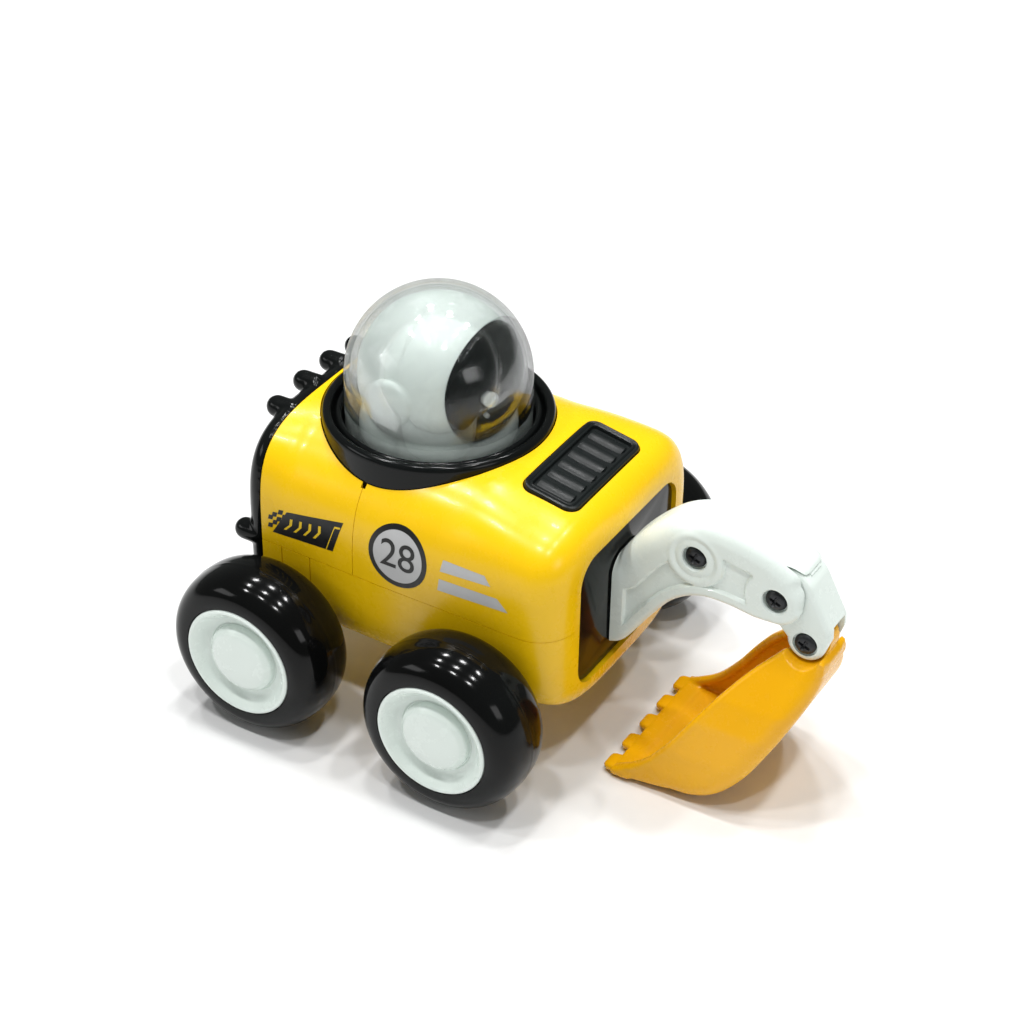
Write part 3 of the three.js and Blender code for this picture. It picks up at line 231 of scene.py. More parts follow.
def place(thing, material, body, slot, *nodes, smooth=32):
    """Puts a finished piece in the part's frame with its material, and ties it to its body."""
    mesh = thing.data
    mesh.transform(Matrix.Translation((MID_X * MM, 0, 0)) @ Matrix.Scale(MM, 4))
    mesh.materials.clear()
    mesh.materials.append(material)
    mesh.polygons.foreach_set("material_index", [0] * len(mesh.polygons))
    mesh.polygons.foreach_set("use_smooth", [True] * len(mesh.polygons))
    mesh.set_sharp_from_angle(angle=math.radians(smooth))
    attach(thing, body)
    if nodes:
        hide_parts(*nodes)
    return thing


def set_inputs(node, inputs):
    for socket, value in inputs.items():
        node.inputs[socket].default_value = value


def new_node(tree, kind, inputs=None):
    """Adds a shader node of a kind and sets the named inputs."""
    made = tree.nodes.new("ShaderNode" + kind)
    set_inputs(made, inputs or {})
    return made


def join(tree, *runs):
    """Links each (node, output, node, input) of the runs."""
    for giver, output, taker, into in runs:
        tree.links.new(giver.outputs[output], taker.inputs[into])


def ramp_between(tree, low, high, low_at=0.0, high_at=1.0):
    ramp = new_node(tree, "ValToRGB")
    for stop, at, color in zip(ramp.color_ramp.elements, (low_at, high_at), (low, high)):
        stop.position, stop.color = at, (*color, 1)
    return ramp


def new_material(name):
    material = bpy.data.materials.new(name)
    material.use_nodes = True
    return material, material.node_tree, material.node_tree.nodes["Principled BSDF"]


def moulded(name, deep, light, roughness, grain=1400, relief=0.00001, coat=0.0, tone=28, metal=0.0,
            bend=1.45):
    """A moulded or turned finish: slow drift of tone, fine surface grain and slight rub marks."""
    material, tree, surface = new_material(name)
    place_in = new_node(tree, "TexCoord")
    drift = new_node(tree, "TexNoise", {"Scale": tone, "Detail": 3})
    ramp = ramp_between(tree, deep, light, 0.3, 0.7)
    rub = new_node(tree, "TexNoise", {"Scale": 170, "Detail": 6, "Roughness": 0.7})
    spread = new_node(tree, "MapRange", {"From Min": 0.35, "From Max": 0.75,
                                     "To Min": roughness * 0.8, "To Max": roughness * 1.35})
    fine = new_node(tree, "TexNoise", {"Scale": grain, "Detail": 2})
    bump = new_node(tree, "Bump", {"Strength": 0.35, "Distance": relief})
    join(tree, *[(place_in, "Object", texture, "Vector") for texture in (drift, rub, fine)],
         (drift, "Fac", ramp, "Fac"), (ramp, "Color", surface, "Base Color"),
         (rub, "Fac", spread, "Value"), (spread, "Result", surface, "Roughness"),
         (fine, "Fac", bump, "Height"), (bump, "Normal", surface, "Normal"))
    set_inputs(surface, {"Metallic": metal, "IOR": bend, "Coat Weight": coat, "Coat Roughness": 0.06})
    return material


yellow = moulded("yellow_abs", (0.88, 0.53, 0.003), (0.92, 0.575, 0.004), 0.27, coat=0.06, bend=1.38)

SHELL_SIDES = 128
spacing = [sind(5 * i) for i in range(19)]
front_rounding = [FRONT_X - CORNER_R + CORNER_R * s for s in spacing]
straight = [REAR_X + (FRONT_X - CORNER_R - REAR_X) * i / 34 for i in range(34)]
outer_rings = [section(x, 0, SHELL_SIDES) for x in straight + front_rounding]
hollow_end = FRONT_X - WALL - 0.6
hollow_stations = [x for x in straight + front_rounding if x < hollow_end] + [hollow_end]
inner_rings = [section(x, WALL, SHELL_SIDES) for x in hollow_stations]
body = loft("tray", list(reversed(outer_rings)) + inner_rings)
slice_off(body, (0, 0, FLAT_Z), (0, 0, -1))
rear_shell = copy_of(body, "rear_body_shell")
slice_off(rear_shell, (0, 0, SEAM_Z + SEAM_GAP / 2), (0, 0, -1))
front_shell = copy_of(rear_shell, "front_body_shell")
slice_off(rear_shell, (SEAM_X - SEAM_GAP / 2, 0, 0), (1, 0, 0))
slice_off(front_shell, (SEAM_X + SEAM_GAP / 2, 0, 0), (-1, 0, 0))
slice_off(body, (0, 0, SEAM_Z - SEAM_GAP / 2), (0, 0, 1))


def panel_prism(grow, x0, x1, name="panel_prism"):
    outline = rounded_rect(-PANEL["half"] - grow, PANEL["half"] + grow,
                           PANEL["low"] - grow, PANEL["high"] + grow, PANEL["radius"] + grow)
    return loft(name, [[(x, y, z) for y, z in outline] for x in (x0, x1)])


VENT_SLOPE = math.atan2(
    top_z(VENT["x"] - VENT["length"] / 2) - top_z(VENT["x"] + VENT["length"] / 2), VENT["length"])
on_hood = Matrix.Translation((VENT["x"], 0, top_z(VENT["x"]) + VENT["lift"])) @ Matrix.Rotation(
    VENT_SLOPE, 4, "Y")


def vent_prism(grow, z0, z1, name="vent_prism"):
    outline = rounded_rect(-VENT["length"] / 2 - grow, VENT["length"] / 2 + grow,
                           -VENT["width"] / 2 - grow, VENT["width"] / 2 + grow, VENT["radius"] + grow)
    return loft(name, [[(x, y, z) for x, y in outline] for z in (z0, z1)])


NOTCH = (SEAM_X - 0.55, SEAM_X + 0.55, COLLAR_HOLE_R - 1.2, COLLAR_HOLE_R + 0.75)
for shell in (rear_shell, front_shell):
    for side in (1, -1):
        near, far = sorted((side * NOTCH[2], side * NOTCH[3]))
        cut(shell, block(NOTCH[0], NOTCH[1], near, far, 50, 70))
    cut(shell, rod(COLLAR_HOLE_R, "Z", (DOME_X, 0, 0), 45, 90, 128))
cut(front_shell, panel_prism(0.25, FRONT_X - 6, FRONT_X + 5))
cut(body, panel_prism(0.25, FRONT_X - 6, FRONT_X + 5))
vent_hole = vent_prism(0.3, -4, 6)
vent_hole.data.transform(on_hood)
cut(front_shell, vent_hole)
for x in (-24.5, -17.3):
    for side in (1, -1):
        y = sorted((side * (HALF_W - 1.2), side * (HALF_W + 2)))
        cut(body, block(x - 0.1, x + 0.1, y[0], y[1], 28.5, 40))
BEARING_R, AXLE_Z, AXLE_ROOM_R = 3.4, 19.0, 1.75
AXLES = {"rear": -23.75, "front": 23.75}
for x in AXLES.values():
    for side in (1, -1):
        cut(body, turned("boss", [(0, 25), (BEARING_R, 25), (BEARING_R, 30.4), (BEARING_R - 0.3, 30.6),
                                  (AXLE_ROOM_R, 30.6), (0, 30.6)], 48, "Y", (x, 0, AXLE_Z), side), "UNION")
    cut(body, rod(AXLE_ROOM_R, "Y", (x, 0, AXLE_Z), -40, 40, 32))
place(rear_shell, yellow, "chassis", "body_yellow", "rear_shell")
place(front_shell, yellow, "chassis", "body_yellow", "front_shell")
place(body, yellow, "chassis", "body_yellow", "chassis_tray")

# ---------------------------------------------------------------- side prints
# Flat ink on both sides of the body: a slanted flag with plain chevrons and a scatter of squares,
# a round badge with a number, and two stripes. Each is a skin a few hundredths above the plastic.
black_ink = moulded("black_ink", (0.004, 0.004, 0.004), (0.008, 0.008, 0.008), 0.35, tone=90)
grey_ink = moulded("grey_ink", (0.47, 0.47, 0.48), (0.53, 0.53, 0.53), 0.38, tone=90)
yellow_ink = moulded("yellow_ink", (0.80, 0.52, 0.01), (0.88, 0.58, 0.02), 0.35, tone=90)
INK = 0.035  # thickness of one layer


def ink(name, patches, layer, material, side):
    """Lays flat patches, each (points, faces) in x and z, on one side of the body."""
    work = bmesh.new()
    for points, faces in patches:
        corners = [work.verts.new((x, side * (side_y(x, z) + INK * layer), z)) for x, z in points]
        for face in faces:
            work.faces.new([corners[i] for i in face])
    for face in work.faces:
        face.normal_update()
        if face.normal.y * side < 0:
            face.normal_flip()
    mesh = bpy.data.meshes.new(name)
    work.to_mesh(mesh)
    work.free()
    slots = {black_ink: "black_satin", grey_ink: "white_plastic", yellow_ink: "body_yellow"}
    return place(added(name, mesh), material, "chassis", slots[material])


def slab(corners, across=1, down=1):
    """A four-cornered patch, divided so that it can follow the body's curve."""
    a, b, c, d = (np.array(p, dtype=float) for p in corners)
    points, faces = [], []
    for j in range(down + 1):
        for i in range(across + 1):
            u, v = i / across, j / down
            points.append(tuple((a * (1 - u) + b * u) * (1 - v) + (d * (1 - u) + c * u) * v))
    for j in range(down):
        for i in range(across):
            k = j * (across + 1) + i
            faces.append((k, k + 1, k + across + 2, k + across + 1))
    return points, faces


def disc(centre, inner, outer, sides=72, rings=6):
    radii = [inner + (outer - inner) * i / rings for i in range(rings + 1)]
    turns = [2 * math.pi * i / sides for i in range(sides)]
    points = [(centre[0] + r * math.cos(a), centre[1] + r * math.sin(a)) for r in radii for a in turns]
    faces = [(k * sides + i, k * sides + (i + 1) % sides,
              (k + 1) * sides + (i + 1) % sides, (k + 1) * sides + i)
             for k in range(rings) for i in range(sides)]
    return points, faces


FLAG = [(-22.9, 46.5), (-8.8, 49.0), (-11.2, 41.4), (-26.6, 40.3)]
SQUARES = [(-23.9, 45.6), (-25.3, 44.6), (-24.9, 46.4), (-26.4, 45.4), (-26.3, 43.5), (-27.4, 44.4),
           (-27.5, 42.4)]
BADGE, BADGE_R, BADGE_IN = (4.7, 46.0), 7.0, 5.85
STRIPES = [[(15.3, 49.2), (25.1, 49.3), (26.7, 47.4), (14.8, 46.5)],
           [(14.7, 44.7), (28.3, 45.2), (30.9, 42.7), (14.4, 41.9)]]


def on_flag(u, v):
    a, b, c, d = (np.array(p, dtype=float) for p in FLAG)
    return tuple((a * (1 - u) + b * u) * (1 - v) + (d * (1 - u) + c * u) * v)


marks = []
for k in range(4):
    u = 0.13 + 0.165 * k
    for v0, v1, lean_u in ((0.26, 0.5, 0.045), (0.74, 0.5, 0.045)):
        marks.append(slab([on_flag(u, v0), on_flag(u + 0.045, v0), on_flag(u + 0.045 + lean_u, v1),
                           on_flag(u + lean_u, v1)], 2, 3))
for left, right, low, high, across, down in ((0.90, 0.985, 0.16, 0.22, 2, 1),
                                             (0.885, 0.90, 0.16, 1.0, 1, 8)):
    corners = [on_flag(left, low), on_flag(right, low), on_flag(right, high), on_flag(left, high)]
    marks.append(slab(corners, across, down))
text = bpy.data.curves.new("number", "FONT")
text.body, text.size, text.offset = "28", 8.8, 0.018
text.align_x, text.align_y, text.space_character = "CENTER", "CENTER", 0.98
writer = added("number", text)
digits = bpy.data.meshes.new_from_object(writer.evaluated_get(bpy.context.evaluated_depsgraph_get()))
bpy.data.objects.remove(writer)
cutting = bmesh.new()
cutting.from_mesh(digits)
bmesh.ops.triangulate(cutting, faces=cutting.faces)
bmesh.ops.subdivide_edges(cutting, edges=[e for e in cutting.edges if e.calc_length() > 0.7], cuts=2)
bmesh.ops.triangulate(cutting, faces=cutting.faces)
cutting.verts.index_update()
digit_points = [(v.co.x, v.co.y) for v in cutting.verts]
digit_faces = [tuple(v.index for v in f.verts) for f in cutting.faces]
cutting.free()
for hand, side in (("left", 1), ("right", -1)):
    reading = -side
    number = [(BADGE[0] + reading * x, BADGE[1] + z) for x, z in digit_points]
    squares = [slab([(x, z), (x + 1.15, z + 0.15), (x + 0.85, z - 1.0), (x - 0.3, z - 1.15)])
               for x, z in SQUARES]
    ink(f"flag_{hand}", [slab(FLAG, 14, 8)] + squares, 1, black_ink, side)
    ink(f"flag_marks_{hand}", marks, 2, yellow_ink, side)
    ink(f"badge_{hand}", [disc(BADGE, 0.02, BADGE_R, rings=10)], 1, black_ink, side)
    ink(f"badge_field_{hand}", [disc(BADGE, 0.02, BADGE_IN, rings=9)], 2, grey_ink, side)
    ink(f"badge_number_{hand}", [(number, digit_faces)], 3, black_ink, side)
    ink(f"stripes_{hand}", [slab(stripe, 10, 3) for stripe in STRIPES], 1, grey_ink, side)

# ---------------------------------------------------------------- rear cover
# The back of the toy is closed by one black gloss cap with rounded lugs round its edge. Two
# screws in counterbores hold it to the rear shell and the tray.
black_gloss = moulded("black_gloss_abs", (0.003, 0.0035, 0.0035), (0.006, 0.007, 0.007), 0.13,
                      grain=1100, bend=1.28)
COVER_FRONT, COVER_DEPTH, COVER_R = -29.8, 4.2, 3.6
COVER_BACK = COVER_FRONT - COVER_DEPTH
LUG_R, LUG_OUT = 2.4, 3.4
LUGS = [(14.4, 60.4), (4.8, 61.6), (-4.8, 61.6), (-14.4, 60.4), (27.4, 37.0), (-27.4, 37.0)]
COVER_SCREW_Z = (45.0, 22.0)


def cover_ring(x, inset=0.0):
    drawn = pulled_in(COVER_BACK + COVER_R - x, COVER_R)
    return section(x, inset, SHELL_SIDES, low=lambda _: BOTTOM_Z + drawn, high=lambda _: TOP_Z - drawn,
                   wide=lambda _: HALF_W - REAR_TAPER - drawn, power=lambda _: REAR_POWER)


cap_steps = [COVER_BACK + COVER_R * (1 - cosd(9 * i)) for i in range(11)]
rear_cap = loft("rear_cap", [cover_ring(x) for x in cap_steps + [COVER_FRONT]])
for y, z in LUGS:
    tip = COVER_BACK - LUG_OUT + LUG_R
    domed = [(LUG_R * sind(10 * i), tip - LUG_R * cosd(10 * i))
             for i in range(10)]
    lug = turned("lug", domed + [(LUG_R, COVER_FRONT - 1), (0, COVER_FRONT - 1)], 32, "X", (0, y, z))
    cut(rear_cap, lug, "UNION")
slice_off(rear_cap, (0, 0, FLAT_Z), (0, 0, -1))
smoothing = rear_cap.modifiers.new("fillets", "REMESH")
smoothing.mode = "VOXEL"
smoothing.voxel_size = 0.42
applied(rear_cap)
ease = rear_cap.modifiers.new("ease", "SMOOTH")
ease.factor, ease.iterations = 0.5, 5
applied(rear_cap)
slice_off(rear_cap, (COVER_FRONT, 0, 0), (1, 0, 0))
for z in COVER_SCREW_Z:
    cut(rear_cap, rod(2.65, "X", (0, 0, z), COVER_BACK - 5, COVER_BACK + 1, 48))
    cut(rear_cap, rod(1.5, "X", (0, 0, z), COVER_BACK - 5, COVER_FRONT + 2, 32))
place(rear_cap, black_gloss, "chassis", "black_gloss", "rear_cover")

# ---------------------------------------------------------------- front panel
# A flat black gloss plate set just inside the yellow front edge. The boom's seat bears on it
# and the boom's tongue passes through its slot, which the seat hides.
panel_plate = panel_prism(0, PANEL["face"] - 1.6, PANEL["face"], "panel_plate")
cut(panel_plate, block(PANEL["face"] - 4, PANEL["face"] + 4, -3.9, 3.9, 27.7, 42.3))
rounding = panel_plate.modifiers.new("rounding", "BEVEL")
rounding.width, rounding.segments, rounding.limit_method = 0.35, 3, "ANGLE"
rounding.angle_limit = math.radians(50)
applied(panel_plate)
place(panel_plate, black_gloss, "chassis", "black_gloss", "front_panel")

# ---------------------------------------------------------------- vent grille
# A satin black insert pressed into the hood: a rounded frame with a raised inner lip round a
# sunken field, crossed by scooped louvres that run front to back and repeat across the hood.
black_satin = moulded("black_satin_abs", (0.007, 0.009, 0.009), (0.013, 0.016, 0.016), 0.3,
                      grain=1500, relief=0.00003, bend=1.28)
VENT_UP, VENT_THICK = 0.9, 1.7
LOUVRES, LOUVRE_PITCH, LOUVRE_L, LOUVRE_W, LOUVRE_H = 6, 4.1, 8.6, 3.1, 0.75


def frame_ring(grow, z):
    return [(x, y, z) for x, y in rounded_rect(
        -VENT["length"] / 2 - grow, VENT["length"] / 2 + grow,
        -VENT["width"] / 2 - grow, VENT["width"] / 2 + grow, VENT["radius"] + grow)]


rim_profile = [(0, VENT_UP - VENT_THICK), (0, VENT_UP - 0.45), (-0.12, VENT_UP - 0.15),
               (-0.45, VENT_UP - 0.02), (-0.8, VENT_UP - 0.12), (-1.0, VENT_UP - 0.3),
               (-1.15, VENT_UP - 0.1), (-1.35, VENT_UP),
               (-1.6, VENT_UP - 0.12), (-1.75, VENT_UP - 0.5), (-1.8, VENT_UP - 0.85)]
vent_frame = loft("vent_insert", [frame_ring(grow, z) for grow, z in rim_profile])


def repeated(thing, name, inputs):
    """Geometry Nodes: copies the mesh along a line of a given count and pitch, as one mesh."""
    tree = bpy.data.node_groups.new(name, "GeometryNodeTree")
    face = tree.interface
    face.new_socket("Piece", in_out="INPUT", socket_type="NodeSocketGeometry")
    sockets = {key: face.new_socket(key, in_out="INPUT", socket_type="NodeSocket" + kind)
               for key, kind in (("Count", "Int"), ("Pitch", "Float"), ("Finish", "Material"))}
    face.new_socket("Row", in_out="OUTPUT", socket_type="NodeSocketGeometry")
    given, result, line, copies, real, paint = (tree.nodes.new(kind) for kind in (
        "NodeGroupInput", "NodeGroupOutput", "GeometryNodeMeshLine", "GeometryNodeInstanceOnPoints",
        "GeometryNodeRealizeInstances", "GeometryNodeSetMaterial"))
    line.mode = "OFFSET"
    step, start = new_node(tree, "CombineXYZ"), new_node(tree, "CombineXYZ")
    less, half, first = (new_node(tree, "Math", {1: value}) for value in (1, 0.5, -0.5))
    less.operation, half.operation, first.operation = "SUBTRACT", "MULTIPLY", "MULTIPLY"
    join(tree, (given, "Count", line, "Count"), (given, "Pitch", step, "Y"),
         (step, "Vector", line, "Offset"), (given, "Count", less, 0),
         (less, 0, half, 0), (given, "Pitch", half, 1), (half, 0, first, 0),
         (first, 0, start, "Y"), (start, "Vector", line, "Start Location"), (line, "Mesh", copies, "Points"),
         (given, "Piece", copies, "Instance"), (copies, "Instances", real, "Geometry"),
         (real, "Geometry", paint, "Geometry"), (given, "Finish", paint, "Material"),
         (paint, "Geometry", result, "Row"))
    row = thing.modifiers.new(name, "NODES")
    row.node_group = tree
    for key, value in inputs.items():
        row[sockets[key].identifier] = value
    return applied(thing)


def louvre():
    """One louvre: a bar with round ends, high along its front side and scooped behind."""
    rings = []
    for i in range(25):
        t = -1 + 2 * i / 24
        reach = (1 - abs(t) ** 6) ** (1 / 6) if abs(t) < 1 else 0.02
        x = t * LOUVRE_L / 2
        ring = []
        for k in range(20):
            angle = 2 * math.pi * k / 20
            c, s = math.cos(angle), math.sin(angle)
            lean = 0.28 * c
            high = LOUVRE_H * (0.62 + lean) if s > 0 else 0.35
            ring.append((x, LOUVRE_W / 2 * reach * c, VENT_UP - 0.85 + high * s * reach ** 0.5))
        rings.append(ring)
    return loft("vent_louvres", rings)


louvres = repeated(louvre(), "vent_louvre_row",
                   {"Count": LOUVRES, "Pitch": LOUVRE_PITCH, "Finish": black_satin})
for part in (vent_frame, louvres):
    part.data.transform(on_hood)
place(vent_frame, black_satin, "chassis", "black_satin", "vent_grille")
place(louvres, black_satin, "chassis", "black_satin")

# ---------------------------------------------------------------- dome collar
# A black gloss ring that holds the dome's skirt: a fat outer bead, a groove, and a lower inner
# bead beside the dome. It drops into the round hole between the two shells.
COLLAR_R, COLLAR_TOP, COLLAR_BOTTOM, COLLAR_IN = 24.4, 63.8, 54.0, 20.1


def bead(radius, height, width, steps=12):
    """Half an oval in section, from its outer foot over its crown to its inner foot."""
    return [(radius + width * math.cos(math.pi * i / steps), height * math.sin(math.pi * i / steps))
            for i in range(steps + 1)]


outer_bead = [(r, COLLAR_TOP - 1.5 + h) for r, h in bead(COLLAR_R - 1.15, 1.5, 1.15)]
inner_bead = [(r, COLLAR_TOP - 1.9 + h) for r, h in bead(COLLAR_IN + 0.75, 1.0, 0.75)]
collar_profile = ([(COLLAR_IN, COLLAR_BOTTOM), (COLLAR_R, COLLAR_BOTTOM)] + outer_bead
                  + [(COLLAR_R - 2.45, COLLAR_TOP - 2.3)] + inner_bead + [(COLLAR_IN, COLLAR_BOTTOM)])
collar = turned("collar_ring", collar_profile, 128, "Z", (DOME_X, 0, 0))
place(collar, black_gloss, "chassis", "black_gloss", "dome_collar", smooth=50)

# ---------------------------------------------------------------- dome
# A clear blown-looking shell of polystyrene, 1.2 mm thick: a half ball on a short straight skirt
# with a flange under the collar. Where it is seen edge on, its see-through share is painted grey: painted
# shade.
DOME_R, DOME_WALL, DOME_Z = 19.6, 1.2, 71.0
dome_foot = COLLAR_BOTTOM - 0.3
arc = [math.radians(3 * i) for i in range(31)]
outside = [(DOME_R * math.cos(a), DOME_Z + DOME_R * math.sin(a)) for a in arc]
inside = [((DOME_R - DOME_WALL) * math.cos(a), DOME_Z + (DOME_R - DOME_WALL) * math.sin(a)) for a in arc]
flange = [(DOME_R - DOME_WALL, dome_foot - 1.5), (DOME_R + 2.2, dome_foot - 1.5),
          (DOME_R + 2.2, dome_foot), (DOME_R, dome_foot)]
dome_profile = list(reversed(inside)) + flange + outside
dome_shell = turned("dome_shell", dome_profile, 128, "Z", (DOME_X, 0, 0))
clear, clear_tree, clear_surface = new_material("clear_polystyrene")
set_inputs(clear_surface, {"Base Color": (0.97, 0.975, 0.975, 1), "Transmission Weight": 1.0, "IOR": 1.5})
clear_through = new_node(clear_tree, "BsdfTransparent")
clear_edge = new_node(clear_tree, "LayerWeight", {"Blend": 0.3})
# Painted shade: the see-through share turns grey where the wall is seen edge on.
clear_painted_edge_shade = ramp_between(clear_tree, (0.95, 0.96, 0.96), (0.30, 0.29, 0.285), 0.45, 0.92)
clear_share = new_node(clear_tree, "MixShader", {"Fac": 0.42})
clear_place = new_node(clear_tree, "TexCoord")
clear_haze = new_node(clear_tree, "TexNoise", {"Scale": 90, "Detail": 5})
clear_spread = new_node(clear_tree, "MapRange", {"To Min": 0.0, "To Max": 0.05})
join(clear_tree, (clear_edge, "Facing", clear_painted_edge_shade, "Fac"), (clear_painted_edge_shade, "Color", clear_through, "Color"),
     (clear_through, "BSDF", clear_share, 1), (clear_surface, "BSDF", clear_share, 2),
     (clear_share, "Shader", clear_tree.nodes["Material Output"], "Surface"),
     (clear_place, "Object", clear_haze, "Vector"), (clear_haze, "Fac", clear_spread, "Value"),
     (clear_spread, "Result", clear_surface, "Roughness"))
place(dome_shell, clear, "dome_press", "clear_plastic", "dome", smooth=50)

# ---------------------------------------------------------------- figure's head
# A hollow white ball in two halves, cemented on an upright seam, with a round pad on each side.
# It is a plain helmet with no face.
white = moulded("white_abs", (0.76, 0.835, 0.79), (0.80, 0.875, 0.83), 0.26, coat=0.2, tone=40)
HEAD_R, HEAD_Z, HEAD_FOOT, HEAD_SEAM = 16.8, 71.6, 58.4, 0.09
foot_angle = math.asin((HEAD_FOOT - HEAD_Z) / HEAD_R)
head_arc = [foot_angle + (math.pi / 2 - foot_angle) * i / 60 for i in range(61)]
head_profile = ([(HEAD_R * math.cos(a), HEAD_R * math.sin(a)) for a in head_arc]
                + [((HEAD_R - 1.4) * math.cos(a), (HEAD_R - 1.4) * math.sin(a)) for a in reversed(head_arc)])
for points in (head_profile[60], head_profile[61]):
    head_profile[head_profile.index(points)] = (0.0, points[1])
head_profile.append(head_profile[0])
head = turned("head_back", head_profile, 128, "Z", (DOME_X, 0, HEAD_Z))
face_half = copy_of(head, "head_face")
slice_off(head, (DOME_X - HEAD_SEAM / 2, 0, 0), (1, 0, 0))
slice_off(face_half, (DOME_X + HEAD_SEAM / 2, 0, 0), (-1, 0, 0))
place(head, white, "dome_press", "white_plastic", "head_rear", smooth=50)
place(face_half, white, "dome_press", "white_plastic", "head_front", smooth=50)

PAD_R, PAD_OUT, PAD_IN, PAD_X, PAD_Z = 5.2, 17.75, 14.0, DOME_X - 1.2, HEAD_Z + 0.5
for name, node, side in (("ear_pad_left", "ear_left", 1), ("ear_pad_right", "ear_right", -1)):
    crown = []
    for i in range(25):
        r = PAD_R * sind(3.75 * i)
        edge = 1.1 - math.sqrt(max(0.0, 1.21 - max(0.0, r - PAD_R + 1.1) ** 2))
        crown.append((r, math.sqrt(PAD_OUT ** 2 - r * r) - edge))
    pad = turned(name, crown + [(PAD_R, PAD_IN), (0, PAD_IN)], 64, "Y", (PAD_X, 0, PAD_Z), side)
    place(pad, white, "dome_press", "white_plastic", node, smooth=50)

# ---------------------------------------------------------------- visor
# An oval black gloss shell that follows the ball, with a soft edge. A white dot and a small one
# under it are a painted highlight: the glint of a lamp painted on in white.
VISOR_W, VISOR_H, VISOR_Z, VISOR_OUT, VISOR_IN = 13.6, 12.2, HEAD_Z + 1.4, 17.7, 17.05


def on_ball(radius, y, z):
    return DOME_X + math.sqrt(radius ** 2 - y ** 2 - (z - HEAD_Z) ** 2)


visor_rings = []
for layer in (0, 1):
    shares = [sind(4.5 * i) for i in range(21)]
    for share in (shares if layer == 0 else reversed(shares)):
        ring = []
        edge = 0.45 * (1 - math.sqrt(max(0.0, 1 - max(0.0, (share - 0.955) / 0.045) ** 2)))
        for i in range(96):
            angle = 2 * math.pi * i / 96
            y = VISOR_W * share * math.cos(angle)
            z = VISOR_Z + VISOR_H * share * math.sin(angle)
            ring.append((on_ball(VISOR_OUT - edge if layer == 0 else VISOR_IN, y, z), y, z))
        visor_rings.append(ring)
visor = loft("visor_shell", visor_rings)
black_visor = moulded("black_visor", (0.004, 0.005, 0.005), (0.008, 0.01, 0.01), 0.1, bend=1.36)
place(visor, black_visor, "dome_press", "black_gloss", "visor", smooth=50)
# Painted highlight colour: the grey-white of a lamp's glint on the visor.
painted_glint_white = moulded("painted_glint_white", (0.62, 0.66, 0.66), (0.74, 0.78, 0.78), 0.4)


def dot(name, y, z, radius):
    rings = [[(on_ball(VISOR_OUT + 0.03, y + r * math.cos(a), z + r * math.sin(a)), y + r * math.cos(a),
               z + r * math.sin(a)) for a in [2 * math.pi * i / 40 for i in range(40)]]
             for r in (radius, radius * 0.5, radius * 0.02)]
    return loft(name, rings, caps=False)


# Painted highlight: two white dots that stand for a lamp's glint on the gloss visor.
for name, y, z, radius in (("visor_painted_glint_dot", -6.6, HEAD_Z + 2.3, 1.55),
                           ("visor_painted_glint_speck", -7.6, HEAD_Z - 0.9, 0.5)):
    place(dot(name, y, z, radius), painted_glint_white, "dome_press", "white_plastic")

# ---------------------------------------------------------------- shoulder ring
# The figure's white shoulders: a fat ring that the head sits in, in two halves like the head.
SHOULDER_R, SHOULDER_LOW, SHOULDER_HIGH = 16.6, HEAD_FOOT - 0.5, HEAD_FOOT + 4.6
seat_r = HEAD_R + 0.25


def quarter(centre_r, centre_z, out, up, start, steps=10):
    """A quarter of an oval in section, from an angle onwards."""
    return [(centre_r + out * cosd(start + 90 * i / steps),
             centre_z + up * sind(start + 90 * i / steps)) for i in range(steps + 1)]


ring_out = (quarter(SHOULDER_R - 1.5, SHOULDER_LOW + 1.5, 1.5, 1.5, -90)
            + quarter(SHOULDER_R - 1.7, SHOULDER_HIGH - 2.6, 1.7, 2.6, 0))
ring_in = [(math.sqrt(seat_r ** 2 - (z - HEAD_Z) ** 2), z)
           for z in np.linspace(SHOULDER_HIGH, SHOULDER_LOW, 12)]
shoulders = turned("shoulders", ring_out + ring_in + ring_out[:1], 128, "Z", (DOME_X, 0, 0))
cut(shoulders, block(DOME_X - 0.06, DOME_X + 0.06, -30, 30, 50, 70))
place(shoulders, white, "dome_press", "white_plastic", "shoulder_ring", smooth=45)

# ---------------------------------------------------------------- tyres
# Fat hollow tyres of glossy black soft vinyl with smooth round treads, pushed over the hubs. A
# fine mould line runs round the crown.
WHEEL_R, TYRE_IN_Y, TYRE_W, HUB_R, TYRE_POWER = 19.0, 30.7, 16.7, 12.6, 2.4
TYRE_OUT_Y = TYRE_IN_Y + TYRE_W
vinyl = moulded("black_vinyl", (0.002, 0.002, 0.002), (0.004, 0.0045, 0.0045), 0.11, grain=700,
                relief=0.00002, bend=1.27, tone=60)
bore, CROWN_STEP, MOULD_LINE = HUB_R + 0.2, 32, 0.07  # the middle step alone stands proud
tyre_profile = [(bore, TYRE_IN_Y)]
for i in range(2 * CROWN_STEP + 1):
    t = -math.cos(math.pi * i / (2 * CROWN_STEP))
    rise = max(0.0, 1 - abs(t) ** TYRE_POWER) ** (1 / TYRE_POWER)
    radius = bore + 0.4 + (WHEEL_R - bore - 0.4) * rise - (0.0 if i == CROWN_STEP else MOULD_LINE)
    tyre_profile.append((radius, (TYRE_IN_Y + TYRE_OUT_Y) / 2 + t * TYRE_W / 2))
tyre_profile += [(bore, TYRE_OUT_Y), (bore, TYRE_IN_Y)]

